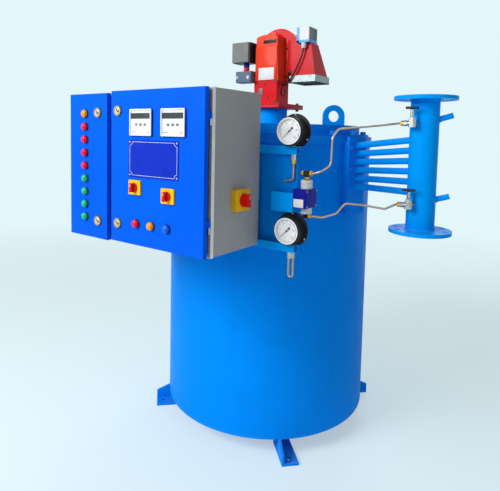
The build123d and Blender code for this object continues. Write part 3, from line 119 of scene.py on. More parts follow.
class BoilerColours(bpy.types.PropertyGroup):
    """Colours of the paints, plastics and metals."""

    def colour(name, description, default):
        return FloatVectorProperty(name=name, description=description, default=default, subtype="COLOR",
                                   min=0.0, max=1.0)

    shell: colour("Shell blue", "Gloss enamel on the shell and its lid", (0.0, 0.243, 0.86))
    # Painted light: this is the shell's enamel made lighter, to stand in for the light on the header, tubes, rails,
    # lugs and neck.
    branch: colour("Branch blue", "Gloss enamel on the header, tubes, rails and lugs", (0.0, 0.32, 0.93))
    door: colour("Door blue", "Powder coat on the two panel doors", (0.0, 0.102, 0.82))
    case: colour("Case grey", "Textured coat on the two panel cases", (0.37, 0.378, 0.375))
    burner: colour("Burner red", "Gloss enamel on the burner's castings", (0.66, 0.008, 0.016))
    cover: colour("Cover red", "Enamel on the burner's front cover", (0.80, 0.050, 0.018))
    motor: colour("Motor grey", "Enamel on the fan motor", (0.075, 0.08, 0.09))
    navy: colour("Navy", "Case of the pressure switch", (0.006, 0.008, 0.27))
    plate: colour("Plate blue", "Enamelled nameplate on the door", (0.004, 0.026, 0.46))
    white: colour("White", "White mouldings and faces", (0.72, 0.74, 0.75))
    dial: colour("Dial", "Enamelled gauge dials", (0.90, 0.91, 0.93))
    # Painted highlight: the pale colour of a strip that stands in for the light on the cases' front edges.
    trim: colour("Trim", "Edge trim round the fronts of the cases", (0.90, 0.92, 0.92))
    cream: colour("Cream", "Inserts of the door locks", (0.55, 0.53, 0.46))
    # This black is also painted on the controllers' sides as their shade.
    black: colour("Black", "Black mouldings and seals", (0.014, 0.014, 0.016))
    grey: colour("Grey", "Lid of the burner's control box and keys", (0.175, 0.185, 0.18))
    slate: colour("Slate", "Block of the fuel valve", (0.115, 0.16, 0.235))
    yellow: colour("Yellow", "Switch plates", (0.90, 0.50, 0.012))
    red: colour("Red", "Switch knobs", (0.72, 0.012, 0.008))
    sky: colour("Sky blue", "Frame of the air pressure switch", (0.10, 0.42, 0.90))
    dark_steel: colour("Dark steel", "Blackened screws of the burner", (0.075, 0.07, 0.07))
    steel: colour("Steel", "Plated steel screws and valves", (0.44, 0.43, 0.41))
    brass: colour("Brass", "Brass nuts and lock rings", (0.78, 0.46, 0.06))
    copper: colour("Copper", "Drawn copper lines", (0.47, 0.34, 0.28))
    alloy: colour("Alloy", "Bare aluminium and zinc sheet", (0.26, 0.31, 0.315))
    lens_orange: colour("Orange lens", "Orange lamp lenses", (1.0, 0.31, 0.0))
    lens_red: colour("Red lens", "Red lamp lenses", (0.85, 0.0, 0.035))
    lens_green: colour("Green lens", "Green lamp lenses", (0.0, 0.46, 0.16))
    lens_blue: colour("Blue lens", "Blue lamp lens", (0.0, 0.13, 0.72))
    window: colour("Window", "Dark windows of the displays, the air switch and the sight glass", (0.035, 0.04, 0.045))

    del colour


class BoilerSizes(bpy.types.PropertyGroup):
    """Sizes of the small hardware."""

    def length(name, description, default):
        return FloatProperty(name=name, description=description, default=default, min=0.0, unit="LENGTH")

    bolt_flats: length("Bolt flats", "Width across the flats of the large hex bolts", 0.022)
    small_flats: length("Small bolt flats", "Width across the flats of the small hex bolts", 0.013)
    screw_r: length("Screw radius", "Radius of the pan-head screws", 0.0042)
    weld_bead: length("Weld bead", "Radius of the weld beads", 0.0042)
    seal_width: length("Seal width", "Width of the rubber seal behind a door", 0.009)
    lens_r: length("Lens radius", "Radius of the lamp lenses", 0.0152)
    lens_height: length("Lens height", "How far a lamp lens stands out", 0.018)
    tick: length("Tick", "Length of a long mark on a dial", 0.0058)
    lid_bolts: IntProperty(name="Lid bolts", description="Number of bolts round the lid", default=20, min=4)

    del length


class BoilerStage(bpy.types.PropertyGroup):
    """Camera, lamps and floor."""

    camera: FloatVectorProperty(name="Camera", description="Where the camera stands", subtype="XYZ", unit="LENGTH",
                                default=(1.3582, -2.1169, 1.3956))
    heading: FloatProperty(name="Heading", description="Turn of the camera from looking along +Y", unit="ROTATION",
                           default=radians(36.122))
    pitch: FloatProperty(name="Pitch", description="How far the camera looks down", unit="ROTATION",
                         default=0.0747)
    roll: FloatProperty(name="Roll", description="How far the camera leans to its left", unit="ROTATION",
                        default=0.0205)
    lens: FloatProperty(name="Lens", description="Focal length in millimetres", unit="CAMERA", default=34.91)
    shift_x: FloatProperty(name="Shift right", description="Sideways shift of the picture", default=0.0196)
    shift_y: FloatProperty(name="Shift up", description="Upward shift of the picture", default=-0.15)
    key_power: FloatProperty(name="Key", description="Power of the key lamp", unit="POWER", default=222.0)
    fill_power: FloatProperty(name="Fill", description="Power of the fill lamp", unit="POWER", default=17.0)
    rear_power: FloatProperty(name="Rear", description="Power of the lamp behind", unit="POWER", default=70.0)
    sky_light: FloatProperty(name="Sky light", description="Strength of the even light", default=0.31, min=0.0)
    floor: FloatVectorProperty(name="Floor", description="Colour of the floor and background", subtype="COLOR",
                               min=0.0, max=1.0, default=(0.775, 0.925, 0.96))


# Modelling helpers

def deselect():
    """Select nothing, so that the next operator acts only on what it adds."""
    if bpy.context.mode != "OBJECT":
        bpy.ops.object.mode_set(mode="OBJECT")
    bpy.ops.object.select_all(action="DESELECT")


def take(piece):
    """Select this piece alone and make it active."""
    deselect()
    piece.select_set(True)
    bpy.context.view_layer.objects.active = piece


def edit(piece):
    take(piece)
    bpy.ops.object.mode_set(mode="EDIT")


def pick(kind, test):
    """In edit mode, select the faces, edges or points whose middle and normal, or run for an edge, pass the test."""
    bpy.ops.mesh.select_mode(type=kind)
    bpy.ops.mesh.select_all(action="DESELECT")
    mesh = bpy.context.edit_object.data
    shape = bmesh.from_edit_mesh(mesh)
    if kind == "FACE":
        for face in shape.faces:
            face.select_set(test(face.calc_center_median(), face.normal))
    elif kind == "EDGE":
        for edge in shape.edges:
            ends = [point.co for point in edge.verts]
            edge.select_set(test((ends[0] + ends[1]) / 2, ends[1] - ends[0]))
    else:
        for point in shape.verts:
            point.select_set(test(point.co, point.normal))
    bmesh.update_edit_mesh(mesh)


def settle(piece):
    """Put the piece's place into its mesh and smooth its gentle edges."""
    take(piece)
    bpy.ops.object.transform_apply(location=True, rotation=True, scale=True)
    bpy.ops.object.shade_smooth_by_angle(angle=SMOOTH_ANGLE)
    return piece


def close_up():
    """In edit mode, merge the doubles of the whole mesh and point its faces outwards."""
    bpy.ops.mesh.select_all(action="SELECT")
    bpy.ops.mesh.remove_doubles(threshold=WELD_GAP)
    bpy.ops.mesh.normals_make_consistent(inside=False)
    bpy.ops.object.mode_set(mode="OBJECT")


def start_circle(profile, sides, fill):
    """A circle at the profile's first step, selected in edit mode."""
    deselect()
    radius, height = profile[0]
    bpy.ops.mesh.primitive_circle_add(vertices=sides, radius=radius, fill_type=fill, location=(0, 0, height))
    bpy.ops.object.transform_apply(location=True, rotation=True, scale=True)
    bpy.ops.object.mode_set(mode="EDIT")
    bpy.ops.mesh.select_mode(type="VERT")
    bpy.ops.mesh.select_all(action="SELECT")
    return bpy.context.object


def carry(profile):
    """In edit mode, extrude the selection through the profile's steps of radius and height."""
    for (radius, height), (next_radius, next_height) in zip(profile, profile[1:]):
        bpy.ops.mesh.extrude_region_move(TRANSFORM_OT_translate={"value": (0, 0, next_height - height)})
        if next_radius == 0:
            bpy.ops.mesh.merge(type="CENTER")
        elif next_radius != radius:
            share = next_radius / radius
            bpy.ops.transform.resize(value=(share, share, 1), center_override=(0, 0, next_height))


def turned(profile, sides=32):
    """A lathe form on +Z: a disc carried through the profile's steps of radius and height."""
    piece = start_circle(profile, sides, "NGON")
    carry(profile)
    close_up()
    return settle(piece)


def ring(profile, sides=48):
    """A lathe form with a bore: a circle carried round the closed profile."""
    piece = start_circle(profile, sides, "NOTHING")
    carry(profile + profile[:1])
    close_up()
    return settle(piece)


def bar(lo, hi, edge=0.0, steps=2):
    """A block between two corners, with its edges rounded."""
    deselect()
    lo, hi = Vector(lo), Vector(hi)
    bpy.ops.mesh.primitive_cube_add(size=1, location=(lo + hi) / 2)
    piece = bpy.context.object
    piece.scale = hi - lo
    bpy.ops.object.transform_apply(location=True, rotation=True, scale=True)
    if edge:
        bpy.ops.object.mode_set(mode="EDIT")
        bpy.ops.mesh.select_all(action="SELECT")
        bpy.ops.mesh.bevel(offset=edge, segments=steps, affect="EDGES")
        bpy.ops.object.mode_set(mode="OBJECT")
    return settle(piece)


def slab(base, lo, hi, edge=0.0, steps=2):
    """A rounded block between two corners, in millimetres from a base point."""
    lo, hi = (Vector(base) + Vector(corner) for corner in mm(lo, hi))
    return bar(lo, hi, edge * MM, steps)


def frame_strip(lo, hi, width, edge=0.0):
    """A rectangular strip on the XZ plane between two corners, as thick as they are apart in Y."""
    deselect()
    lo, hi = Vector(lo), Vector(hi)
    bpy.ops.mesh.primitive_plane_add(size=1, location=((lo.x + hi.x) / 2, hi.y, (lo.z + hi.z) / 2),
                                     rotation=(pi / 2, 0, 0))
    piece = bpy.context.object
    piece.scale = (hi.x - lo.x, hi.z - lo.z, 1)
    bpy.ops.object.transform_apply(location=True, rotation=True, scale=True)
    bpy.ops.object.mode_set(mode="EDIT")
    bpy.ops.mesh.select_all(action="SELECT")
    bpy.ops.mesh.inset(thickness=width)
    bpy.ops.mesh.delete(type="FACE")
    bpy.ops.mesh.select_all(action="SELECT")
    bpy.ops.mesh.extrude_region_move(TRANSFORM_OT_translate={"value": (0, lo.y - hi.y, 0)})
    if edge:
        pick("EDGE", lambda spot, way: abs(spot.y - lo.y) < edge)
        bpy.ops.mesh.bevel(offset=edge, segments=2, affect="EDGES")
    close_up()
    return settle(piece)


def joined(name, pieces):
    """The pieces as one, under a name."""
    deselect()
    for piece in pieces:
        piece.select_set(True)
    bpy.context.view_layer.objects.active = pieces[0]
    if len(pieces) > 1:
        bpy.ops.object.join()
    pieces[0].name = name
    pieces[0].data.name = name
    return pieces[0]


def twin(piece, place):
    """A copy of the piece at a place, with a mesh of its own."""
    copy = piece.copy()
    copy.data = piece.data.copy()
    copy.data.transform(place)
    bpy.context.scene.collection.objects.link(copy)
    return copy


def copies(name, piece, places):
    """The piece at each place, joined, in place of the piece itself."""
    made = [twin(piece, place) for place in places]
    bpy.data.objects.remove(piece)
    return joined(name, made)


def moved(piece, place):
    """The piece itself, with its mesh at the place."""
    piece.data.transform(place)
    return piece


def cut(piece, tool):
    """Take the tool's form out of the piece."""
    take(piece)
    modifier = piece.modifiers.new("cut", "BOOLEAN")
    modifier.operation = "DIFFERENCE"
    modifier.solver = "EXACT"
    modifier.object = tool
    bpy.ops.object.modifier_apply(modifier=modifier.name)
    bpy.data.objects.remove(tool)
    return settle(piece)


def facing(point, way):
    """A place at the point with +Z along the way and +Y as near upright as it can be."""
    way = Vector(way).normalized()
    upright = UP if abs(way.z) < 0.99 else REAR
    across = upright.cross(way).normalized()
    return Matrix.Translation(point) @ Matrix((across, way.cross(across), way)).transposed().to_4x4()


def corners(half_x, half_y):
    return [(x, y) for x in (-half_x, half_x) for y in (-half_y, half_y)]


def at_corners(centre, way, half_x, half_y):
    """Places at the corners of a rectangle about a centre, all facing one way."""
    return [facing(centre, way) @ Matrix.Translation((x, y, 0)) for x, y in corners(half_x, half_y)]


def round_about(centre, way, radius, turns):
    """Places on a circle about a centre, at turns in degrees, all facing one way."""
    spots = [(radius * cos(radians(turn)), radius * sin(radians(turn)), 0) for turn in turns]
    return [facing(centre, way) @ Matrix.Translation(spot) for spot in spots]


def coat(piece, finish):
    """Give the piece this finish alone."""
    piece.data.materials.clear()
    piece.data.materials.append(bpy.data.materials[finish])


def fit(name, piece, finish, places=(), body="heater", replaced=()):
    """Name the piece, copy it to its places, give it its finish and make it move with its body."""
    piece = copies(name, piece, places) if places else joined(name, [piece])
    coat(piece, finish)
    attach(piece, body)
    if replaced:
        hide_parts(*replaced)
    return piece


def hex_bolt(flats):
    """A hex head on its washer, on +Z."""
    corner = flats / sqrt(3)
    thick, height = 0.14 * flats, 0.62 * flats
    washer = turned([(0.94 * flats, 0), (flats, 0.3 * thick), (flats, 0.8 * thick), (0.96 * flats, thick)], 24)
    head = turned([(corner, thick), (corner, thick + 0.82 * height), (0.87 * corner, thick + height),
                   (0.6 * corner, thick + 0.98 * height)], 6)
    return joined("bolt", [washer, head])


def hex_nut(flats, length, bore):
    """A hex nut with chamfered ends, round a bore, on +Z."""
    corner = flats / sqrt(3)
    chamfer = 0.12 * flats
    return ring([(bore, 0), (0.88 * corner, 0), (corner, chamfer), (corner, length - chamfer),
                 (0.88 * corner, length), (bore, length)], 6)


def pan_screw(radius):
    """A domed screw head with a cross recess, on +Z."""
    head = turned([(radius, 0), (radius, 0.25 * radius), (0.85 * radius, 0.5 * radius), (0.5 * radius, 0.66 * radius),
                   (0.2 * radius, 0.7 * radius)], 20)
    arm, half, depth, top = 0.62 * radius, 0.12 * radius, 0.35 * radius, radius
    across = bar((-arm, -half, depth), (arm, half, top))
    along = bar((-half, -arm, depth), (half, arm, top))
    return cut(cut(head, across), along)


def socket_screw(radius):
    """A cap screw with a hex socket, on +Z."""
    return turned([(radius, 0), (radius, 1.0 * radius), (0.9 * radius, 1.15 * radius), (0.58 * radius, 1.15 * radius),
                   (0.55 * radius, 0.6 * radius)], 18)


def weld_ring(radius, bead):
    """A rippled bead round a pipe, on +Z."""
    deselect()
    ripples = max(12, round(tau * radius / (1.6 * bead)))
    bpy.ops.mesh.primitive_torus_add(major_segments=2 * ripples, minor_segments=8, major_radius=radius,
                                     minor_radius=bead)
    piece = bpy.context.object
    bpy.ops.object.mode_set(mode="EDIT")
    step = pi / ripples
    pick("VERT", lambda spot, normal: round(atan2(spot.y, spot.x) / step) % 2 == 1)
    bpy.ops.transform.shrink_fatten(value=-0.22 * bead)
    close_up()
    return settle(piece)


def weld_run(length, bead):
    """A rippled straight bead along +Z."""
    ripples = max(4, round(length / (1.5 * bead)))
    pitch = length / (2 * ripples)
    steps = [(bead * (1.0 if index % 2 else 0.8), index * pitch) for index in range(2 * ripples + 1)]
    return turned([(0.4 * bead, -0.4 * bead)] + steps + [(0.4 * bead, length + 0.4 * bead)], 8)


def dome(radius, base, height, steps=6):
    """Profile steps of a dome over a short straight wall."""
    rise = height - base
    turns = [index / steps * pi / 2 for index in range(steps)]
    return [(radius, 0)] + [(radius * cos(a), base + rise * sin(a)) for a in turns] + [(0, height)]


# Shader helpers

class Shader:
    """Adds nodes to one shader tree and links them by the names of their sockets."""

    def __init__(self, tree):
        self.tree = tree

    def feed(self, socket, value):
        if isinstance(value, bpy.types.NodeSocket):
            self.tree.links.new(value, socket)
        else:
            socket.default_value = value

    def plug(self, made, **inputs):
        """Set or link a node's inputs by name, with _ for a space."""
        for name, value in inputs.items():
            self.feed(made.inputs[name.replace("_", " ")], value)
        return made

    def node(self, kind, settings=(), **inputs):
        made = self.tree.nodes.new("ShaderNode" + kind)
        for name, value in dict(settings).items():
            setattr(made, name, value)
        return self.plug(made, **inputs)

    def math(self, operation, *values):
        made = self.node("Math", {"operation": operation})
        for socket, value in zip(made.inputs, values):
            self.feed(socket, value)
        return made.outputs[0]

    def blend(self, share, first, second, way="MIX"):
        made = self.node("Mix", {"data_type": "RGBA", "blend_type": way})
        for index, value in ((0, share), (6, first), (7, second)):
            self.feed(made.inputs[index], value)
        return made.outputs[2]

    def spread(self, value, start, end, low_out=0.0, high_out=1.0):
        made = self.node("MapRange", Value=value, From_Min=start, From_Max=end, To_Min=low_out, To_Max=high_out)
        return made.outputs[0]

    def noise(self, place, scale, detail=2.0):
        return self.node("TexNoise", Vector=place, Scale=scale, Detail=detail).outputs[0]

    def stretched(self, place, scale):
        return self.node("Mapping", Vector=place, Scale=scale).outputs[0]

    def group(self, name, **inputs):
        made = self.tree.nodes.new("ShaderNodeGroup")
        made.node_tree = bpy.data.node_groups[name]
        return self.plug(made, **inputs).outputs

    def mixed(self, share, first, second):
        """One shader going over into another as the share goes from 0 to 1."""
        made = self.node("MixShader", Fac=share)
        self.feed(made.inputs[1], first)
        self.feed(made.inputs[2], second)
        return made.outputs[0]


def new_group(name, inputs, outputs):
    """An empty shader group with named sockets; returns its shader, its inputs and its outputs."""
    tree = bpy.data.node_groups.new(name, "ShaderNodeTree")
    for label, kind in inputs.items():
        tree.interface.new_socket(name=label, in_out="INPUT", socket_type="NodeSocket" + kind)
    for label, kind in outputs.items():
        tree.interface.new_socket(name=label, in_out="OUTPUT", socket_type="NodeSocket" + kind)
    start = tree.nodes.new("NodeGroupInput")
    end = tree.nodes.new("NodeGroupOutput")
    return Shader(tree), start.outputs, end.inputs


SURFACE_OUTPUTS = {"Colour": "Color", "Roughness": "Float", "Height": "Float"}
WEAR_RADIUS = 3.5 * MM
RUN_SHADE = (0.006, 0.012, 0.02, 1.0)
DUST_SHADE = (0.42, 0.43, 0.42, 1.0)
CHIP_SHADE = (0.72, 0.78, 0.8, 1.0)
TARNISH_SHADE = (0.42, 0.36, 0.30, 1.0)
GRIME_SHADE = (0.05, 0.05, 0.05, 1.0)
BUMP_STRENGTH = 0.6
FINE_GRAIN = 900.0
FINE_DEPTH = 0.03 * MM
PEEL_DEPTH = 0.04 * MM


def edge_wear_group():
    """A mask of chipped edges, from how far the surface bends nearby."""
    shader, given, made = new_group("Edge wear", {"Place": "Vector", "Radius": "Float"}, {"Mask": "Float"})
    rounded = shader.node("Bevel", {"samples": 6}, Radius=given["Radius"]).outputs[0]
    flat = shader.node("NewGeometry").outputs["Normal"]
    turn = shader.node("VectorMath", {"operation": "DOT_PRODUCT"})
    shader.feed(turn.inputs[0], rounded)
    shader.feed(turn.inputs[1], flat)
    bend = shader.spread(turn.outputs["Value"], 0.94, 0.74)
    chips = shader.spread(shader.noise(given["Place"], 160.0, 3.0), 0.42, 0.62)
    shader.feed(made["Mask"], shader.math("MULTIPLY", bend, chips))


def paint_group():
    """Sprayed enamel: a mottled colour, faint runs, dust on what faces up, and an orange-peel skin."""
    shader, given, made = new_group(
        "Sprayed paint", {"Place": "Vector", "Paint": "Color", "Roughness": "Float", "Dust": "Float",
                          "Wear": "Float", "Peel": "Float"}, SURFACE_OUTPUTS)
    place = given["Place"]
    cloud = shader.noise(place, 2.6, 4.0)
    colour = shader.blend(1.0, given["Paint"], shader.spread(cloud, 0.3, 0.7, 0.90, 1.05), "MULTIPLY")
    runs = shader.noise(shader.stretched(place, (26.0, 26.0, 1.6)), 1.0, 3.0)
    runs = shader.spread(runs, 0.56, 0.78, 0.0, 0.07)
    colour = shader.blend(runs, colour, RUN_SHADE)
    upward = shader.node("SeparateXYZ", Vector=shader.node("TexCoord").outputs["Normal"]).outputs["Z"]
    patches = shader.spread(shader.noise(place, 9.0, 5.0), 0.38, 0.72)
    settled = shader.math("MULTIPLY", shader.spread(upward, 0.5, 0.95), patches)
    dust = shader.math("MULTIPLY", settled, given["Dust"])
    colour = shader.blend(dust, colour, DUST_SHADE)
    worn = shader.math("MULTIPLY", shader.group("Edge wear", Place=place, Radius=WEAR_RADIUS)["Mask"], given["Wear"])
    colour = shader.blend(worn, colour, shader.blend(0.45, given["Paint"], CHIP_SHADE))
    smear = shader.spread(shader.noise(place, 14.0, 3.0), 0.3, 0.7, -0.05, 0.09)
    rough = shader.math("ADD", given["Roughness"], smear)
    shader.feed(made["Colour"], colour)
    shader.feed(made["Roughness"], shader.math("ADD", rough, shader.math("MULTIPLY", dust, 0.35)))
    shader.feed(made["Height"], shader.noise(place, given["Peel"], 2.0))


def metal_group():
    """Plated or drawn metal: a draw grain along one way, dull spots and handling marks."""
    shader, given, made = new_group(
        "Drawn metal", {"Place": "Vector", "Metal": "Color", "Roughness": "Float", "Tarnish": "Float"},
        SURFACE_OUTPUTS)
    grain = shader.noise(shader.stretched(given["Place"], (900.0, 900.0, 60.0)), 1.0, 2.0)
    spots = shader.spread(shader.noise(given["Place"], 46.0, 4.0), 0.46, 0.70)
    tarnish = shader.math("MULTIPLY", spots, given["Tarnish"])
    dull = shader.blend(1.0, given["Metal"], TARNISH_SHADE, "MULTIPLY")
    colour = shader.blend(1.0, given["Metal"], shader.spread(grain, 0.3, 0.7, 0.88, 1.06), "MULTIPLY")
    shader.feed(made["Colour"], shader.blend(tarnish, colour, dull))
    rough = shader.math("ADD", given["Roughness"], shader.spread(grain, 0.3, 0.7, -0.05, 0.08))
    shader.feed(made["Roughness"], shader.math("ADD", rough, shader.math("MULTIPLY", tarnish, 0.25)))
    shader.feed(made["Height"], grain)


def moulding_group():
    """Moulded plastic or rubber: a fine skin, faint flow shading and a little grime."""
    shader, given, made = new_group(
        "Moulded skin", {"Place": "Vector", "Plastic": "Color", "Roughness": "Float", "Grain": "Float"},
        SURFACE_OUTPUTS)
    flow = shader.noise(given["Place"], 22.0, 3.0)
    colour = shader.blend(1.0, given["Plastic"], shader.spread(flow, 0.3, 0.7, 0.90, 1.04), "MULTIPLY")
    grime = shader.spread(shader.noise(given["Place"], 75.0, 5.0), 0.58, 0.80, 0.0, 0.16)
    shader.feed(made["Colour"], shader.blend(grime, colour, GRIME_SHADE))
    shader.feed(made["Roughness"], shader.math("ADD", given["Roughness"], shader.spread(flow, 0.3, 0.7, -0.06, 0.08)))
    shader.feed(made["Height"], shader.noise(given["Place"], given["Grain"], 2.0))


def solid(colour):
    """The colour with nothing showing through."""
    return (*colour[:3], 1.0)


def new_material(name):
    """An empty material; returns its shader, its surface node and its object place."""
    material = bpy.data.materials.new(name)
    material.use_nodes = True
    shader = Shader(material.node_tree)
    surface = material.node_tree.nodes["Principled BSDF"]
    return shader, surface, shader.node("TexCoord").outputs["Object"]


def skin(shader, surface, made, depth):
    """Feed a group's colour, roughness and height to the surface, with the bump's depth in metres."""
    bump = shader.node("Bump", Height=made["Height"], Distance=depth, Strength=BUMP_STRENGTH)
    shader.plug(surface, Base_Color=made["Colour"], Roughness=made["Roughness"], Normal=bump.outputs[0])


def paint(name, colour, rough=0.34, dust=0.12, wear=0.4, peel=420.0, gloss=0.08, clear=0.0):
    shader, surface, place = new_material(name)
    made = shader.group("Sprayed paint", Place=place, Paint=solid(colour), Roughness=rough, Dust=dust, Wear=wear,
                        Peel=peel)
    skin(shader, surface, made, PEEL_DEPTH)
    shader.plug(surface, Coat_Weight=clear, Coat_Roughness=0.12, Specular_IOR_Level=gloss)


def metal(name, colour, rough=0.30, tarnish=0.35):
    shader, surface, place = new_material(name)
    made = shader.group("Drawn metal", Place=place, Metal=solid(colour), Roughness=rough, Tarnish=tarnish)
    skin(shader, surface, made, FINE_DEPTH)
    shader.plug(surface, Metallic=1.0)


def moulding(name, colour, rough=0.42, grain=FINE_GRAIN, depth=FINE_DEPTH, gloss=0.2, clear=0.0):
    shader, surface, place = new_material(name)
    made = shader.group("Moulded skin", Place=place, Plastic=solid(colour), Roughness=rough, Grain=grain)
    skin(shader, surface, made, depth)
    shader.plug(surface, Coat_Weight=clear, Coat_Roughness=0.06, Specular_IOR_Level=gloss)


def two_tone(name, face, side, behind, rough=0.42):
    """A moulding that is one colour on its front and another on its sides behind a depth; the sides' colour is painted
    shade.
    """
    shader, surface, place = new_material(name)
    # Faces that turn away from the front, behind the front depth, are painted in the side colour as shade.
    turn = shader.node("SeparateXYZ", Vector=shader.node("TexCoord").outputs["Normal"]).outputs["Y"]
    depth = shader.node("SeparateXYZ", Vector=place).outputs["Y"]
    front = shader.math("MAXIMUM", shader.spread(turn, -0.55, -0.75), shader.math("LESS_THAN", depth, behind))
    colour = shader.blend(front, solid(side), solid(face))
    made = shader.group("Moulded skin", Place=place, Plastic=colour, Roughness=rough, Grain=FINE_GRAIN)
    skin(shader, surface, made, FINE_DEPTH)
    shader.plug(surface, Specular_IOR_Level=0.2)


def glass(name):
    shader, surface, place = new_material(name)
    smear = shader.spread(shader.noise(place, 30.0, 3.0), 0.35, 0.75, 0.02, 0.10)
    shader.plug(surface, Roughness=smear, Alpha=0.06)


# The paints, metals and mouldings of the solids, by node
NODE_FINISHES = {
    "shell enamel": ("shell_wall", "bottom_plate", "top_ring", "top_lid", "feet", "tube_box", "tube_box_cover",
                     "rail_posts", "backing_plate"),
    # The shell's blue painted lighter, as painted light, on the neck, lugs, tubes, header, rails and bracket.
    "branch enamel": ("burner_neck", "lifting_lugs", "coil_tubes", "header_pipe", "header_top_flange",
                      "header_bottom_flange", "header_sockets", "panel_rails", "switch_bracket"),
    "door coat": ("main_door", "lamp_door"),
    "case coat": ("main_enclosure", "lamp_enclosure"),
    "plated steel": ("hinge_pins", "needle_valves", "gauge_fittings", "main_door_locks", "lamp_door_locks"),
    "black moulding": ("valve_handle_upper", "valve_handle_lower", "gauge_cases", "switch_ports", "switch_lead",
                       "burner_control_box"),
    "drawn copper": ("pressure_lines", "gauge_tails"),
    # The controllers' fronts are white and their sides are painted black as their shade.
    "controller moulding": ("controllers",),
    "dial enamel": ("gauge_dials",),
    "white moulding": ("switch_caps", "air_pressure_switch"),
    "navy moulding": ("switch_body",),
    "plate enamel": ("blank_plate",),
    "lens red": ("indicator_lamps", "pilot_lamps"),
    "yellow moulding": ("selector_plates", "isolator_box"),
    "red moulding": ("selector_knob_left", "selector_knob_right", "isolator_knob"),
    "burner enamel": ("burner_flange", "burner_block", "fan_housing", "intake_hood"),
    "cover enamel": ("burner_cover",),
    "bare sheet": ("intake_skirt", "mounting_plates"),
    "grey moulding": ("control_box_lid",),
    "slate moulding": ("fuel_valve",),
    "motor enamel": ("fan_motor",),
}


class BOILER_OT_finishes(bpy.types.Operator):
    """Make every finish and give each solid its own."""
    bl_idname = "boiler.finishes"
    bl_label = "Finishes"

    # Depth behind the controllers' fronts, past which their sides are painted black as shade.
    FRONT_DEPTH = 3.5 * MM

    def execute(self, context):
        colours = context.scene.boiler_colours
        for make_group in (edge_wear_group, paint_group, metal_group, moulding_group):
            make_group()
        paint("shell enamel", colours.shell, peel=330.0, gloss=0.02)
        # The same enamel as the shell, painted lighter as painted light.
        paint("branch enamel", colours.branch, peel=330.0, gloss=0.02)
        paint("door coat", colours.door, rough=0.38, dust=0.06, wear=0.3, peel=700.0, gloss=0.04)
        paint("case coat", colours.case, rough=0.46, dust=0.18, wear=0.25, peel=900.0)
        paint("burner enamel", colours.burner, rough=0.26, dust=0.06, peel=380.0, clear=0.04)
        paint("cover enamel", colours.cover, rough=0.24, dust=0.06, peel=520.0, clear=0.06)
        paint("motor enamel", colours.motor, rough=0.40, dust=0.25, wear=0.5, peel=520.0, gloss=0.2)
        metal("plated steel", colours.steel)
        metal("dark steel", colours.dark_steel, rough=0.38)
        metal("brass", colours.brass, rough=0.26, tarnish=0.45)
        metal("drawn copper", colours.copper, rough=0.27, tarnish=0.40)
        metal("bare sheet", colours.alloy, rough=0.46, tarnish=0.25)
        moulding("black moulding", colours.black, rough=0.40)
        moulding("rubber", colours.black, rough=0.72, grain=500.0, depth=0.08 * MM)
        moulding("white moulding", colours.white, rough=0.38)
        moulding("cream moulding", colours.cream, rough=0.45)
        moulding("dial enamel", colours.dial, rough=0.5)
        # A pale strip painted as the highlight on the cases' front edges.
        moulding("edge trim", colours.trim, rough=0.40)
        moulding("dial ink", colours.black, rough=0.55)
        moulding("navy moulding", colours.navy, rough=0.34, gloss=0.1)
        moulding("plate enamel", colours.plate, rough=0.30, gloss=0.1)
        moulding("grey moulding", colours.grey, rough=0.34)
        moulding("slate moulding", colours.slate, rough=0.38, gloss=0.1)
        moulding("dark window", colours.window, rough=0.14, clear=0.6)
        moulding("yellow moulding", colours.yellow, rough=0.36, gloss=0.1)
        moulding("red moulding", colours.red, rough=0.26, gloss=0.1, clear=0.1)
        moulding("sky moulding", colours.sky, rough=0.34)
        for shade in ("orange", "red", "green", "blue"):
            moulding("lens " + shade, getattr(colours, "lens_" + shade), rough=0.16, gloss=0.12, clear=0.25)
        # The controllers' sides take the black as painted shade; their fronts stay white.
        two_tone("controller moulding", colours.white, colours.black, low("controllers").y + self.FRONT_DEPTH)
        glass("clear glass")
        for finish, nodes in NODE_FINISHES.items():
            for node in nodes:
                coat(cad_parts[node], finish)
        return {"FINISHED"}


class BOILER_OT_shell_bolts(bpy.types.Operator):
    """Hex bolts round the lid and on the tube box's cover."""
    bl_idname = "boiler.shell_bolts"
    bl_label = "Shell bolts"

    LID_BOLT_R = 0.470
    LID_FIRST = radians(-22)
    LIP_HEIGHT = 8 * MM
    HEAD_TURN = 2.4
    COVER_ROWS = (1.075, 1.165, 1.255, 1.345)
    COVER_HALF = 0.048

    def execute(self, context):
        sizes = context.scene.boiler_sizes
        lip = low("top_lid").z + self.LIP_HEIGHT
        places = []
        for index in range(sizes.lid_bolts):
            turn = self.LID_FIRST + tau * index / sizes.lid_bolts
            spot = (self.LID_BOLT_R * cos(turn), self.LID_BOLT_R * sin(turn), lip)
            places.append(Matrix.Translation(spot) @ Matrix.Rotation(self.HEAD_TURN * index, 4, "Z"))
        fit("lid_bolts", hex_bolt(sizes.bolt_flats), "shell enamel", places)
        places = [BRANCH_TURN @ facing((COVER_PLATE_FACE, y, z), RIGHT)
                  for z in self.COVER_ROWS for y in (-self.COVER_HALF, self.COVER_HALF)]
        fit("tube_box_bolts", hex_bolt(sizes.small_flats), "shell enamel", places)
        return {"FINISHED"}


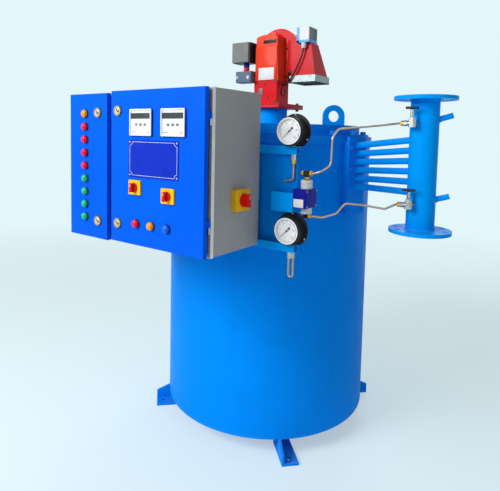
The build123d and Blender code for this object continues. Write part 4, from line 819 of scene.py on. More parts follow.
class BOILER_OT_welds(bpy.types.Operator):
    """Weld beads at the neck, lugs, tubes, sockets and header flanges."""
    bl_idname = "boiler.welds"
    bl_label = "Welds"

    THIN = 0.7
    NECK_R = 84.15 * MM
    LUG_R = 0.338
    LUG_TURNS = (45, 225)
    LUG_HALF = 57 * MM
    LUG_SIDE = 7 * MM
    TUBE_PITCHES = (35.5 * MM, 42.6 * MM)
    TUBE_Z = 1.268
    TUBE_RISE = 18 * MM
    SOCKET_WAY = (cos(radians(14)), sin(radians(14)), sin(radians(18)))
    SOCKET_DROPS = (0.103, 0.412)
    SOCKET_R = 11 * MM
    STUB_WAY = (cos(radians(-106)), sin(radians(-106)), 0)
    STUB_DROPS = (0.105, 0.416)
    STUB_R = 9 * MM

    def lug_places(self):
        starts = [(self.LUG_R - self.LUG_HALF, side, high("top_lid").z) for side in (-self.LUG_SIDE, self.LUG_SIDE)]
        return [Matrix.Rotation(radians(turn), 4, "Z") @ facing(start, RIGHT)
                for turn in self.LUG_TURNS for start in starts]

    def tube_places(self):
        """Both ends of each tube, at the cover plate and at the header."""
        reach = HEADER_AXIS.xy.length
        places = []
        for index in range(TUBE_COUNT):
            step = (TUBE_COUNT - 1) / 2 - index
            near = Vector((COVER_PLATE_FACE, 0, self.TUBE_Z + step * self.TUBE_PITCHES[0]))
            way = Vector((reach, 0, self.TUBE_Z + self.TUBE_RISE + step * self.TUBE_PITCHES[1])) - near
            far = near + way * ((reach - HEADER_R - COVER_PLATE_FACE) / way.x)
            places += [BRANCH_TURN @ facing(near, way), BRANCH_TURN @ facing(far, way)]
        return places

    def header_places(self, drops, way):
        way = Vector(way)
        out = way * (HEADER_R / way.xy.length)
        top = high("header_top_flange").z
        return [facing(Vector((*HEADER_AXIS.xy, top - drop)) + out, way) for drop in drops]

    def execute(self, context):
        bead = context.scene.boiler_sizes.weld_bead
        thin = self.THIN * bead
        flange_faces = (low("header_top_flange").z, high("header_bottom_flange").z)
        beads = (
            ("neck_weld", weld_ring(self.NECK_R, bead), [Matrix.Translation((0, 0, high("top_lid").z))]),
            ("lug_welds", weld_run(2 * self.LUG_HALF, bead), self.lug_places()),
            ("tube_welds", weld_ring(TUBE_R, thin), self.tube_places()),
            ("flange_welds", weld_ring(HEADER_R, bead),
             [Matrix.Translation((*HEADER_AXIS.xy, z)) for z in flange_faces]),
            ("socket_welds", weld_ring(self.SOCKET_R, thin), self.header_places(self.SOCKET_DROPS, self.SOCKET_WAY)),
            ("stub_welds", weld_ring(self.STUB_R, thin), self.header_places(self.STUB_DROPS, self.STUB_WAY)),
        )
        for name, piece, places in beads:
            # The weld beads take the blue that is painted lighter as painted light.
            fit(name, piece, "branch enamel", places)
        return {"FINISHED"}


class BOILER_OT_pipe_nuts(bpy.types.Operator):
    """Brass nuts and plug of the pressure lines and the pressure switch, and steel stems on the valve handles."""
    bl_idname = "boiler.pipe_nuts"
    bl_label = "Pipe nuts"

    NUT_FLATS = 17 * MM
    NUT_LENGTH = 12 * MM
    LINE_BORE = 4.1 * MM
    VALVE_REACH = 30 * MM
    VALVES = (("valve_handle_upper", 1.450), ("valve_handle_lower", 1.139))
    PORT_Y = -0.552
    PORT_ENDS = ((0.5275, 1.258), (0.5255, 1.103))
    PLUG_SPOT = (0.5075, PORT_Y, 1.258)
    PLUG_HEAD = ((0.86, 0), (1, 1.5 * MM), (1, 9 * MM), (0.86, 10.5 * MM))
    PLUG_TIP = mm((5, 10), (5, 16), (4, 17))
    STEM = mm((5.05, 26), (6.2, 26), (6.2, 51), (5.05, 51))

    def nut_places(self):
        places = []
        for node, z in self.VALVES:
            x, y, _ = middle(node)
            places.append(facing((x - self.VALVE_REACH, y, z), LEFT))
        places += [facing((x, self.PORT_Y, z), RIGHT) for x, z in self.PORT_ENDS]
        tail = (middle("gauge_dials").x, middle("gauge_fittings").y, high("gauge_tails").z)
        return places + [facing(tail, DOWN)]

    def plug(self):
        corner = self.NUT_FLATS / sqrt(3)
        head = turned([(share * corner, height) for share, height in self.PLUG_HEAD], 6)
        return joined("plug", [head, turned(self.PLUG_TIP, 20)])

    def execute(self, context):
        nut = hex_nut(self.NUT_FLATS, self.NUT_LENGTH, self.LINE_BORE)
        fit("line_nuts", nut, "brass", self.nut_places())
        fit("port_plug", self.plug(), "brass", [facing(self.PLUG_SPOT, LEFT)])
        for node, z in self.VALVES:
            place = Matrix.Translation((*middle(node).xy, z))
            fit(node + "_stem", ring(self.STEM, 28), "plated steel", [place], node)
        return {"FINISHED"}


class BOILER_OT_door_seals(bpy.types.Operator):
    """Rubber seals on the fronts of the two cases, behind their doors, and a pale strip round each front, painted as
    its edge highlight.
    """
    bl_idname = "boiler.door_seals"
    bl_label = "Door seals"

    SEAL_INSET = 12 * MM
    SEAL_THICK = 8.2 * MM
    SEAL_ROUND = 2 * MM
    # Sizes of the pale strip painted as the highlight round each case's front edge.
    TRIM_OUT = 0.9 * MM
    TRIM_WIDTH = 1.62 * MM
    TRIM_PROUD = 0.4 * MM
    TRIM_DEPTH = 14 * MM
    TRIM_ROUND = 0.3 * MM

    def strip(self, case, inset, proud, depth, width, edge):
        """A strip round a case's front, from a little before its face to a depth behind it."""
        lo, hi = BOXES[case]
        return frame_strip((lo.x + inset, CASE_FACE - proud, lo.z + inset),
                           (hi.x - inset, CASE_FACE + depth, hi.z - inset), width, edge)

    def execute(self, context):
        width = context.scene.boiler_sizes.seal_width
        for case in ("main_enclosure", "lamp_enclosure"):
            seal = self.strip(case, self.SEAL_INSET, self.SEAL_THICK, 0, width, self.SEAL_ROUND)
            fit(case + "_seal", seal, "rubber")
            # A pale strip round the case's front, painted as its edge highlight.
            trim = self.strip(case, -self.TRIM_OUT, self.TRIM_PROUD, self.TRIM_DEPTH, self.TRIM_WIDTH, self.TRIM_ROUND)
            fit(case + "_trim", trim, "edge trim")
        return {"FINISHED"}


class BOILER_OT_lamps(bpy.types.Operator):
    """Domed lamps in their collars: nine down the narrow door and three along the wide one."""
    bl_idname = "boiler.lamps"
    bl_label = "Lamps"

    BEZEL_R = 15 * MM
    COLLAR = mm((17, 0), (17, 2.7), (15.81, 4.5), (14.62, 4.5))
    REAR = mm((11, -38), (11, -16), (13, -16), (13, -9), (11, -9), (11, 0))
    LENS_WALL = 7 * MM
    DOORS = (("indicator", "indicator_lamps", "lamp_door", ("orange",) + 4 * ("red",) + 4 * ("green",)),
             ("pilot", "pilot_lamps", "main_door", ("red", "orange", "blue")))

    def places(self, node, count):
        lo, hi = BOXES[node]
        first = Vector((lo.x + self.BEZEL_R, DOOR_FACE, hi.z - self.BEZEL_R))
        last = Vector((hi.x - self.BEZEL_R, DOOR_FACE, lo.z + self.BEZEL_R))
        return [facing(first.lerp(last, index / (count - 1)), FRONT) for index in range(count)]

    def holder(self):
        """The lamp's collar in front of the sheet and its holder and nut behind."""
        return joined("holder", [turned(self.COLLAR, 40), turned(self.REAR, 32)])

    def execute(self, context):
        sizes = context.scene.boiler_sizes
        for name, node, body, shades in self.DOORS:
            places = self.places(node, len(shades))
            fit(name + "_holders", self.holder(), "black moulding", places, body, (node,))
            for shade in sorted(set(shades)):
                lens = turned(dome(sizes.lens_r, self.LENS_WALL, sizes.lens_height), 40)
                own = [place for place, lit in zip(places, shades) if lit == shade]
                fit(name + "_" + shade, lens, "lens " + shade, own, body)
        return {"FINISHED"}


class BOILER_OT_locks(bpy.types.Operator):
    """Brass rings, pale inserts and dark key bits of the quarter-turn door locks."""
    bl_idname = "boiler.locks"
    bl_label = "Locks"

    LOCK_R = 19 * MM
    RIM = mm((15, 0), (19.5, 0), (19.5, 4.2), (18.5, 7), (16.2, 7), (15, 5.25))
    INSERT = mm((15, 0), (15, 4), (13, 6.2), (9, 6.6))
    BLADE = ((-2.2, -8.5, 5), (2.2, 8.5, 7.4))
    WING = ((0, -8.5, 5), (8.5, -4.1, 7.4))
    BIT_ROUND = 0.6
    BIT_TURN = radians(38)

    def bits(self):
        pieces = [slab((0, 0, 0), *span, self.BIT_ROUND) for span in (self.BLADE, self.WING)]
        return moved(joined("bits", pieces), Matrix.Rotation(self.BIT_TURN, 4, "Z"))

    def execute(self, context):
        for body in ("main_door", "lamp_door"):
            node = body + "_locks"
            heights = (low(node).z + self.LOCK_R, high(node).z - self.LOCK_R)
            places = [facing((middle(node).x, DOOR_FACE, z), FRONT) for z in heights]
            fit(node + "_rings", ring(self.RIM, 48), "brass", places, body)
            fit(node + "_inserts", turned(self.INSERT, 40), "cream moulding", places, body)
            fit(node + "_bits", self.bits(), "black moulding", places, body)
        return {"FINISHED"}


class BOILER_OT_controllers(bpy.types.Operator):
    """Display windows, keys and corner marks on the two controllers."""
    bl_idname = "boiler.controllers"
    bl_label = "Controllers"

    WIDTH = 112 * MM
    RECESS = 3 * MM
    WINDOW = ((-50.6, 13, 0), (50.6, 33, 1.6))
    WINDOW_ROUND = 0.7
    WINDOW_RIM = 2.2 * MM
    WINDOW_SUNK = 0.6 * MM
    KEY_XS = (-22, 0, 22)
    KEY = ((-5.5, -12, 0), (5.5, -4, 1.5))
    KEY_ROUND = 0.8
    MARKS = (((-47, -36, 0), (-25, -34, 0.5)), ((35, -36, 0), (45, -34, 0.5)))
    MARK_ROUND = 0.2

    def window(self):
        pane = slab((0, 0, 0), *self.WINDOW, self.WINDOW_ROUND)
        edit(pane)
        pick("FACE", lambda spot, normal: normal.z > 0.9 and abs(spot.x) < self.WIDTH / 4)
        bpy.ops.mesh.inset(thickness=self.WINDOW_RIM, depth=-self.WINDOW_SUNK)
        return settle(pane)

    def key_pad(self):
        pieces = [slab((x * MM, 0, 0), *self.KEY, self.KEY_ROUND, 3) for x in self.KEY_XS]
        return joined("keys", pieces + [slab((0, 0, 0), *mark, self.MARK_ROUND) for mark in self.MARKS])

    def execute(self, context):
        lo, hi = BOXES["controllers"]
        half = self.WIDTH / 2
        places = [facing((x, lo.y + self.RECESS, (lo.z + hi.z) / 2), FRONT) for x in (lo.x + half, hi.x - half)]
        fit("controller_windows", self.window(), "dark window", places, "main_door")
        fit("controller_keys", self.key_pad(), "grey moulding", places, "main_door")
        return {"FINISHED"}


class BOILER_OT_nameplate(bpy.types.Operator):
    """A pale line round the bare nameplate, with notched corners, and its four screws."""
    bl_idname = "boiler.nameplate"
    bl_label = "Nameplate"

    MARGIN = 7 * MM
    NOTCH_R = 13 * MM
    LINE = 0.7 * MM
    LINE_ROUND = 0.2 * MM
    SCREW_INSET = 7.5 * MM

    def notch(self):
        """A quarter of a ring, for a corner of the line."""
        inner, outer = self.NOTCH_R - self.LINE, self.NOTCH_R + self.LINE
        arc = ring([(inner, 0), (outer, 0), (outer, self.LINE), (inner, self.LINE)], 48)
        edit(arc)
        for normal in ((1, 0, 0), (0, 1, 0)):
            bpy.ops.mesh.select_all(action="SELECT")
            bpy.ops.mesh.bisect(plane_co=(0, 0, 0), plane_no=normal, use_fill=True, clear_outer=True)
        bpy.ops.object.mode_set(mode="OBJECT")
        return arc

    def border(self, half_x, half_z):
        line, notch = self.LINE, self.NOTCH_R
        strips = []
        for x, z in ((half_x, half_z), (-half_x, -half_z)):
            strips.append(bar((notch - half_x, z - line, 0), (half_x - notch, z + line, line), self.LINE_ROUND))
            strips.append(bar((x - line, notch - half_z, 0), (x + line, half_z - notch, line), self.LINE_ROUND))
        arc = self.notch()
        for index, (x, z) in enumerate(((half_x, half_z), (-half_x, half_z), (-half_x, -half_z), (half_x, -half_z))):
            strips.append(twin(arc, Matrix.Translation((x, z, 0)) @ Matrix.Rotation(index * pi / 2, 4, "Z")))
        bpy.data.objects.remove(arc)
        return joined("border", strips)

    def execute(self, context):
        lo, hi = BOXES["blank_plate"]
        centre = ((lo.x + hi.x) / 2, lo.y, (lo.z + hi.z) / 2)
        half_x, half_z = (hi.x - lo.x) / 2, (hi.z - lo.z) / 2
        line = self.border(half_x - self.MARGIN, half_z - self.MARGIN)
        fit("nameplate_border", line, "white moulding", [facing(centre, FRONT)], "main_door")
        screw = pan_screw(context.scene.boiler_sizes.screw_r)
        spots = at_corners(centre, FRONT, half_x - self.SCREW_INSET, half_z - self.SCREW_INSET)
        fit("nameplate_screws", screw, "plated steel", spots, "main_door")
        return {"FINISHED"}


class BOILER_OT_switch_marks(bpy.types.Operator):
    """Rings under the switch knobs and pale pointers on them."""
    bl_idname = "boiler.switch_marks"
    bl_label = "Switch marks"

    SELECTOR_R = 17
    ISOLATOR_R = 24
    RIM = ((0.8, 0), (3.2, 0), (3.2, 0.8), (2.6, 1.6), (0.8, 1.6))
    POINTER_FROM = 0.2
    POINTER_TO = 0.82
    POINTER_END = 0.78
    POINTER_HALF = 1.3
    POINTER_SUNK = 0.4
    POINTER_PROUD = 0.5
    POINTER_ROUND = 0.3
    POINTER_TAPER = 0.5

    def rim(self, radius):
        return ring(mm(*[(radius + out, height) for out, height in self.RIM]), 48)

    def pointer(self, radius):
        """A mark that narrows outwards, pointing up."""
        mark = slab((0, 0, 0), (self.POINTER_FROM * radius, -self.POINTER_HALF, -self.POINTER_SUNK),
                    (self.POINTER_TO * radius, self.POINTER_HALF, self.POINTER_PROUD), self.POINTER_ROUND)
        edit(mark)
        pick("FACE", lambda spot, normal: spot.x > self.POINTER_END * radius * MM)
        bpy.ops.transform.resize(value=(1, self.POINTER_TAPER, 1), center_override=(radius * MM, 0, 0))
        return moved(settle(mark), Matrix.Rotation(pi / 2, 4, "Z"))

    def mark(self, node, base_body, radius, seat, tip, way):
        fit(node + "_ring", self.rim(radius), "yellow moulding", [facing(seat, way)], base_body)
        fit(node + "_pointer", self.pointer(radius), "white moulding", [facing(tip, way)], node)

    def execute(self, context):
        for node in ("selector_knob_left", "selector_knob_right"):
            x, _, z = middle(node)
            self.mark(node, "main_door", self.SELECTOR_R, (x, low("selector_plates").y, z), (x, low(node).y, z), FRONT)
        node = "isolator_knob"
        _, y, z = middle(node)
        self.mark(node, "heater", self.ISOLATOR_R, (high("isolator_box").x, y, z), (high(node).x, y, z), RIGHT)
        return {"FINISHED"}


class BOILER_OT_gauge_faces(bpy.types.Operator):
    """Marks, numbers, pointers, glasses, pale margins, bezels and flange screws of the two pressure gauges."""
    bl_idname = "boiler.gauge_faces"
    bl_label = "Gauge faces"

    HALF_HEIGHT = 44.5 * MM
    START = 225
    SWEEP = 270
    STEPS = 50
    LONG_EVERY = 5
    LONG_HALF = 0.55 * MM
    SHORT_HALF = 0.28 * MM
    SHORT_SHARE = 0.55
    MARK_R = 40 * MM
    MARK_THICK = 0.25 * MM
    ARC = mm((40, 0), (40.5, 0), (40.5, 0.25), (40, 0.25))
    NUMBERS = (0, 2, 4, 6, 8, 10)
    NUMBER_R = 28.5 * MM
    NUMBER_SIZE = 9 * MM
    NUMBER_THICK = 0.12 * MM
    BLADE = ((-15, -1.7, 2.2), (33, 1.7, 2.9))
    TIP_SHARE = 0.14
    WEIGHT_X = -15 * MM
    WEIGHT = mm((4.2, 2.1), (4.2, 3.0))
    HUB = mm((3.2, 0), (3.2, 3.2), (2.4, 3.8))
    GLASS = mm((45, -2.6), (45, -1.2), (36, -0.9), (18, -0.7), (2.25, -0.6))
    BEZEL = mm((48.4, -1), (50, -1), (50, 0.6), (49.6, 1.6), (48.8, 1.6), (48.4, 0.8))
    MARGIN = mm((44.4, -5.8), (44.9, -5.8), (44.9, 0.1), (48.6, 0.1), (48.6, 0.8), (44.4, 0.8))
    FLANGE_THICK = 4 * MM
    SCREW_RING = 58.5 * MM
    SCREW_TURNS = (-30, 90, 210)

    def angle(self, share):
        return radians(self.START - self.SWEEP * share)

    def marks(self, tick):
        pieces = []
        for index in range(self.STEPS + 1):
            long = index % self.LONG_EVERY == 0
            reach, half = (tick, self.LONG_HALF) if long else (self.SHORT_SHARE * tick, self.SHORT_HALF)
            mark = bar((self.MARK_R - reach, -half, 0), (self.MARK_R, half, self.MARK_THICK))
            pieces.append(moved(mark, Matrix.Rotation(self.angle(index / self.STEPS), 4, "Z")))
        return pieces + [ring(self.ARC, 96)]

    def number(self, number, turn):
        deselect()
        bpy.ops.object.text_add(location=(0, 0, 0))
        text = bpy.context.object.data
        text.body = str(number)
        text.size = self.NUMBER_SIZE
        text.align_x = "CENTER"
        text.align_y = "CENTER"
        text.extrude = self.NUMBER_THICK
        text.resolution_u = 3
        bpy.ops.object.convert(target="MESH")
        spot = (self.NUMBER_R * cos(turn), self.NUMBER_R * sin(turn), self.NUMBER_THICK)
        return moved(bpy.context.object, Matrix.Translation(spot))

    def numbers(self):
        last = len(self.NUMBERS) - 1
        return [self.number(number, self.angle(index / last)) for index, number in enumerate(self.NUMBERS)]

    def pointer(self):
        blade = slab((0, 0, 0), *self.BLADE)
        edit(blade)
        pick("FACE", lambda spot, normal: normal.x > 0.9)
        bpy.ops.transform.resize(value=(1, self.TIP_SHARE, 1), center_override=(0, 0, 0))
        settle(blade)
        weight = moved(turned(self.WEIGHT, 24), Matrix.Translation((self.WEIGHT_X, 0, 0)))
        pointer = joined("pointer", [blade, weight, turned(self.HUB, 24)])
        return moved(pointer, Matrix.Rotation(self.angle(0), 4, "Z"))

    def execute(self, context):
        sizes = context.scene.boiler_sizes
        lo, hi = BOXES["gauge_dials"]
        x = (lo.x + hi.x) / 2
        heights = (lo.z + self.HALF_HEIGHT, hi.z - self.HALF_HEIGHT)
        dials = [facing((x, lo.y, z), FRONT) for z in heights]
        fronts = [facing((x, low("gauge_cases").y, z), FRONT) for z in heights]
        printed = joined("print", self.marks(sizes.tick) + self.numbers())
        fit("gauge_marks", printed, "dial ink", dials)
        fit("gauge_pointers", self.pointer(), "dial ink", dials)
        fit("gauge_glasses", turned(self.GLASS, 64), "clear glass", fronts)
        fit("gauge_bezels", ring(self.BEZEL, 72), "black moulding", fronts)
        fit("gauge_margins", ring(self.MARGIN, 72), "dial enamel", fronts)
        flange = high("gauge_cases").y - self.FLANGE_THICK
        spots = []
        for z in heights:
            spots += round_about((x, flange, z), FRONT, self.SCREW_RING, self.SCREW_TURNS)
        fit("gauge_screws", pan_screw(sizes.screw_r), "plated steel", spots)
        return {"FINISHED"}


class BOILER_OT_pressure_switch(bpy.types.Operator):
    """A bare label, screws, a brass collar and bands on the differential pressure switch."""
    bl_idname = "boiler.pressure_switch"
    bl_label = "Pressure switch"

    LABEL = ((4, -0.8, 3), (44, 0, 33))
    LABEL_ROUND = 0.35
    SCREW_INSET = 6.5 * MM
    SCREW_SHARE = 0.8
    PORT = (0.5175, -0.552)
    COLLAR = (19 * MM, 9 * MM, 6.1 * MM)
    COLLAR_RISE = 2 * MM
    BAND = mm((19, 0), (21.9, 0.6), (21.9, 3.4), (19, 4))
    BAND_RISES = (("switch_body", 1, 3 * MM), ("switch_caps", 1, -10 * MM), ("switch_caps", 0, 6 * MM))

    def execute(self, context):
        sizes = context.scene.boiler_sizes
        lo, hi = BOXES["switch_body"]
        fit("switch_label", slab(lo, *self.LABEL, self.LABEL_ROUND), "white moulding")
        half_y, half_z = (hi.y - lo.y) / 2 - self.SCREW_INSET, (hi.z - lo.z) / 2 - self.SCREW_INSET
        spots = at_corners((hi.x, (lo.y + hi.y) / 2, (lo.z + hi.z) / 2), RIGHT, half_y, half_z)
        fit("switch_screws", pan_screw(self.SCREW_SHARE * sizes.screw_r), "plated steel", spots)
        top = Matrix.Translation((*self.PORT, high("switch_caps").z + self.COLLAR_RISE))
        fit("switch_collar", hex_nut(*self.COLLAR), "brass", [top])
        places = [Matrix.Translation((*self.PORT, BOXES[node][end].z + rise)) for node, end, rise in self.BAND_RISES]
        fit("switch_bands", ring(self.BAND, 40), "white moulding", places)
        return {"FINISHED"}


class BOILER_OT_burner_trim(bpy.types.Operator):
    """Label, cover panel, slot insert, rim strips, screws, bolts, sight glass and plates of the burner's castings."""
    bl_idname = "boiler.burner_trim"
    bl_label = "Burner trim"

    EDGE_SHARE = 0.4
    PANEL = ((-63, 1668), (63, 1837))
    PANEL_THICK = 4 * MM
    LABEL = ((-42, 1671), (49, 1731))
    LABEL_THICK = 0.9 * MM
    SLOT = ((-19, 1850.5), (57, 1867.5))
    SLOT_BACK = (1.5, 3)
    SLOT_ROUND = 0.3
    FIN_SHARES = (0.25, 0.5, 0.75)
    FIN_HALF = 0.9
    FIN_DEPTH = 2
    FIN_ROUND = 0.4
    PLATE = ((-44, 1597), (-21, 1631))
    PLATE_THICK = 1.2 * MM
    BLOCK_SCREWS = ((-60, 1657), (-4, 1655), (52, 1657), (-34, 1584), (53, 1562), (-34, 1562), (8, 1584))
    RIM_SCREWS = ((-79, 1690), (-79, 1742), (79, 1690), (79, 1760), (79, 1830))
    RIM_SPANS = (((-85, 1672), (-73, 1876)), ((73, 1672), (85, 1876)))
    RIM_SHEET = 1.2 * MM
    SCREW_SHARE = 1.1
    FLANGE_HALF = 98 * MM
    FLANGE_STACK = 22 * MM
    BOLT_SHARE = 0.6
    SLEEVE = 0.6 * MM
    SLEEVE_ROUND = 0.3 * MM
    PORT = (7.5 * MM, 1.612)
    PORT_SUNK = 6 * MM
    PORT_PANE = mm((11.7, 0), (11.7, 2.5), (7.2, 3.2), (2.4, 3.4))
    PORT_RING = 16 * MM
    PORT_TURNS = (30, 150, 270)
    PORT_SHARE = 0.6

    def sheet(self, span, face, thick):
        """A thin sheet on a front face, over a span given in millimetres."""
        (x0, z0), (x1, z1) = mm(*span)
        return bar((x0, face - thick, z0), (x1, face, z1), self.EDGE_SHARE * thick)

    def slot_fins(self, face):
        """A back plate in the cover's slot, with fins along it."""
        (x0, z0), (x1, z1) = self.SLOT
        near, far = self.SLOT_BACK
        base = (0, face, 0)
        pieces = [slab(base, (x0, near, z0), (x1, far, z1), self.SLOT_ROUND)]
        for share in self.FIN_SHARES:
            z = z0 + share * (z1 - z0)
            pieces.append(slab(base, (x0, 0, z - self.FIN_HALF), (x1, self.FIN_DEPTH, z + self.FIN_HALF),
                               self.FIN_ROUND))
        return joined("fins", pieces)

    def castings(self, sizes):
        cover_face, block_face, rim_face = (low(node).y for node in ("burner_cover", "burner_block", "fan_housing"))
        fit("cover_panel", self.sheet(self.PANEL, cover_face, self.PANEL_THICK), "cover enamel")
        label = self.sheet(self.LABEL, cover_face - self.PANEL_THICK, self.LABEL_THICK)
        fit("burner_label", label, "white moulding")
        fit("slot_fins", self.slot_fins(cover_face), "black moulding")
        fit("block_plate", self.sheet(self.PLATE, block_face, self.PLATE_THICK), "grey moulding")
        strips = [self.sheet(span, rim_face, self.RIM_SHEET) for span in self.RIM_SPANS]
        fit("cover_flanges", joined("strips", strips), "cover enamel")
        spots = [facing((x, block_face, z), FRONT) for x, z in mm(*self.BLOCK_SCREWS)]
        spots += [facing((x, rim_face - self.RIM_SHEET, z), FRONT) for x, z in mm(*self.RIM_SCREWS)]
        fit("burner_screws", socket_screw(self.SCREW_SHARE * sizes.screw_r), "dark steel", spots)

    def flange(self, sizes):
        lo, hi = BOXES["burner_flange"]
        under = hi.z - self.FLANGE_STACK
        spots = corners(self.FLANGE_HALF, self.FLANGE_HALF)
        places = [facing((x, y, z), way) for z, way in ((hi.z, UP), (under, DOWN)) for x, y in spots]
        fit("flange_bolts", hex_bolt(self.BOLT_SHARE * sizes.bolt_flats), "dark steel", places)
        half = hi.x + self.SLEEVE
        sleeve = bar((-half, -half, under - self.SLEEVE), (half, half, lo.z), self.SLEEVE_ROUND)
        fit("neck_plate", sleeve, "burner enamel")

    def sight_port(self, sizes):
        side = high("burner_block").x
        pane = facing((side - self.PORT_SUNK, *self.PORT), RIGHT)
        fit("sight_glass", turned(self.PORT_PANE, 32), "dark window", [pane])
        spots = round_about((side, *self.PORT), RIGHT, self.PORT_RING, self.PORT_TURNS)
        fit("port_screws", socket_screw(self.PORT_SHARE * sizes.screw_r), "dark steel", spots)

    def execute(self, context):
        sizes = context.scene.boiler_sizes
        self.castings(sizes)
        self.flange(sizes)
        self.sight_port(sizes)
        return {"FINISHED"}


class BOILER_OT_burner_controls(bpy.types.Operator):
    """Frame, window, gland and lead of the air pressure switch, collars and screws of the fuel valve, intake trim."""
    bl_idname = "boiler.burner_controls"
    bl_label = "Burner controls"

    SWITCH_HEIGHT = 74 * MM
    FRAME_WIDTH = 13 * MM
    FRAME_PROUD = 1.2 * MM
    FRAME_TOP = 0.4 * MM
    FRAME_ROUND = 1.5 * MM
    WINDOW_INSET = ((-1 * MM, 6 * MM, 15 * MM), (1.6 * MM, -4 * MM, -3 * MM))
    WINDOW_ROUND = 0.9 * MM
    WINDOW_RIM = 4 * MM
    WINDOW_SUNK = 0.8 * MM
    GLAND = mm((5.625, -27), (10, -25), (11.875, -19), (11.875, -12), (12.5, -11), (12.5, 0))
    LEAD_R = 4 * MM
    LEAD_POINTS = mm((189, -14, 1830), (189, -14, 1812), (177, -16, 1770), (145, -16, 1708), (113, -16, 1659),
                     (84, 0, 1648), (66, 0, 1648))
    LEAD_SLACK = 0.96
    COLLAR = (-118.5 * MM, -55 * MM, 0)
    COLLAR_BORE = 12
    COLLAR_R = 15
    COLLAR_CHAMFER = (1, 2)
    COLLAR_SPANS = ((1717.5, 1738, "red moulding", "red_plastic"), (1738.5, 1757.5, "navy moulding", "navy"))
    VALVE_SCREWS = (9 * MM, -16 * MM, 26 * MM)
    SCREW_SHARE = 0.62
    EDGING = 3 * MM
    EDGING_OUT = 1 * MM
    EDGING_DROP = 0.5 * MM
    EDGING_ROUND = 0.9 * MM
    GRILLE_GAPS = 9
    GRILLE_BAR = ((-1, 2, 8), (1, -2, 10))
    GRILLE_ROUND = 0.4 * MM

    def switch_frame(self):
        lo, hi = BOXES["air_pressure_switch"]
        base, out = hi.z - self.SWITCH_HEIGHT, self.FRAME_PROUD
        start = (lo.x - out, lo.y - out, base)
        foot = bar(start, (hi.x + out, hi.y + out, base + self.FRAME_WIDTH), self.FRAME_ROUND)
        post = bar(start, (lo.x + self.FRAME_WIDTH, hi.y + out, hi.z + self.FRAME_TOP), self.FRAME_ROUND)
        return joined("frame", [foot, post])

    def switch_window(self):
        lo, hi = BOXES["air_pressure_switch"]
        start, end = (Vector(corner) for corner in self.WINDOW_INSET)
        pane = bar(Vector((hi.x, lo.y, hi.z - self.SWITCH_HEIGHT)) + start, hi + end, self.WINDOW_ROUND)
        edit(pane)
        pick("FACE", lambda spot, normal: normal.x > 0.95)
        bpy.ops.mesh.inset(thickness=self.WINDOW_RIM, depth=-self.WINDOW_SUNK)
        return settle(pane)

    def lead(self):
        """The switch's lead, from its gland to the block's side."""
        points = self.LEAD_POINTS
        curve = bpy.data.curves.new("air_switch_lead", "CURVE")
        curve.dimensions = "3D"
        curve.bevel_depth = self.LEAD_R
        curve.bevel_resolution = 4
        curve.use_fill_caps = True
        spline = curve.splines.new("NURBS")
        spline.points.add(len(points) - 1)
        for point, spot in zip(spline.points, points):
            point.co = (*spot, 1.0)
        spline.order_u = 3
        spline.use_endpoint_u = True
        spline.resolution_u = 12
        cable = bpy.data.objects.new("air_switch_lead", curve)
        bpy.context.scene.collection.objects.link(cable)
        fit("air_switch_lead", cable, "black moulding", replaced=("switch_lead",))

    def air_switch(self):
        fit("switch_frame", self.switch_frame(), "sky moulding")
        fit("switch_window", self.switch_window(), "dark window")
        x, y, _ = self.LEAD_POINTS[0]
        under = Matrix.Translation((x, y, high("air_pressure_switch").z - self.SWITCH_HEIGHT))
        fit("switch_gland", turned(self.GLAND, 12), "white moulding", [under])
        self.lead()

    def valve(self, sizes):
        bore, outer = self.COLLAR_BORE, self.COLLAR_R
        inward, along = self.COLLAR_CHAMFER
        for bottom, top, finish, slot in self.COLLAR_SPANS:
            collar = ring(mm((bore, bottom), (outer - inward, bottom), (outer, bottom + along), (outer, top - along),
                             (outer - inward, top), (bore, top)), 40)
            name = "valve_collar_" + finish.split()[0]
            fit(name, collar, finish, [Matrix.Translation(self.COLLAR)])
        lo, hi = BOXES["fuel_valve"]
        left, right, rise = self.VALVE_SCREWS
        spots = [facing((x, lo.y, lo.z + rise), FRONT) for x in (lo.x + left, hi.x + right)]
        fit("valve_screws", hex_bolt(self.SCREW_SHARE * sizes.small_flats), "plated steel", spots)

    def skirt_edging(self):
        lo, hi = BOXES["intake_skirt"]
        size, out = self.EDGING, self.EDGING_OUT
        bottom, top = lo.z - self.EDGING_DROP, lo.z + size
        strips = [bar((lo.x, y, bottom), (hi.x, y + size, top), self.EDGING_ROUND)
                  for y in (lo.y - out, hi.y - size + out)]
        strips += [bar((x, lo.y, bottom), (x + size, hi.y, top), self.EDGING_ROUND)
                   for x in (lo.x - out, hi.x - size + out)]
        return joined("edging", strips)

    def grille(self):
        lo, hi = BOXES["intake_skirt"]
        start, end = (Vector(corner) for corner in mm(*self.GRILLE_BAR))
        bars = []
        for index in range(1, self.GRILLE_GAPS):
            x = lo.x + (hi.x - lo.x) * index / self.GRILLE_GAPS
            bars.append(bar(Vector((x, lo.y, lo.z)) + start, Vector((x, hi.y, lo.z)) + end, self.GRILLE_ROUND))
        return joined("grille", bars)

    def execute(self, context):
        self.air_switch()
        self.valve(context.scene.boiler_sizes)
        fit("skirt_edging", self.skirt_edging(), "rubber")
        fit("intake_grille", self.grille(), "plated steel")
        return {"FINISHED"}


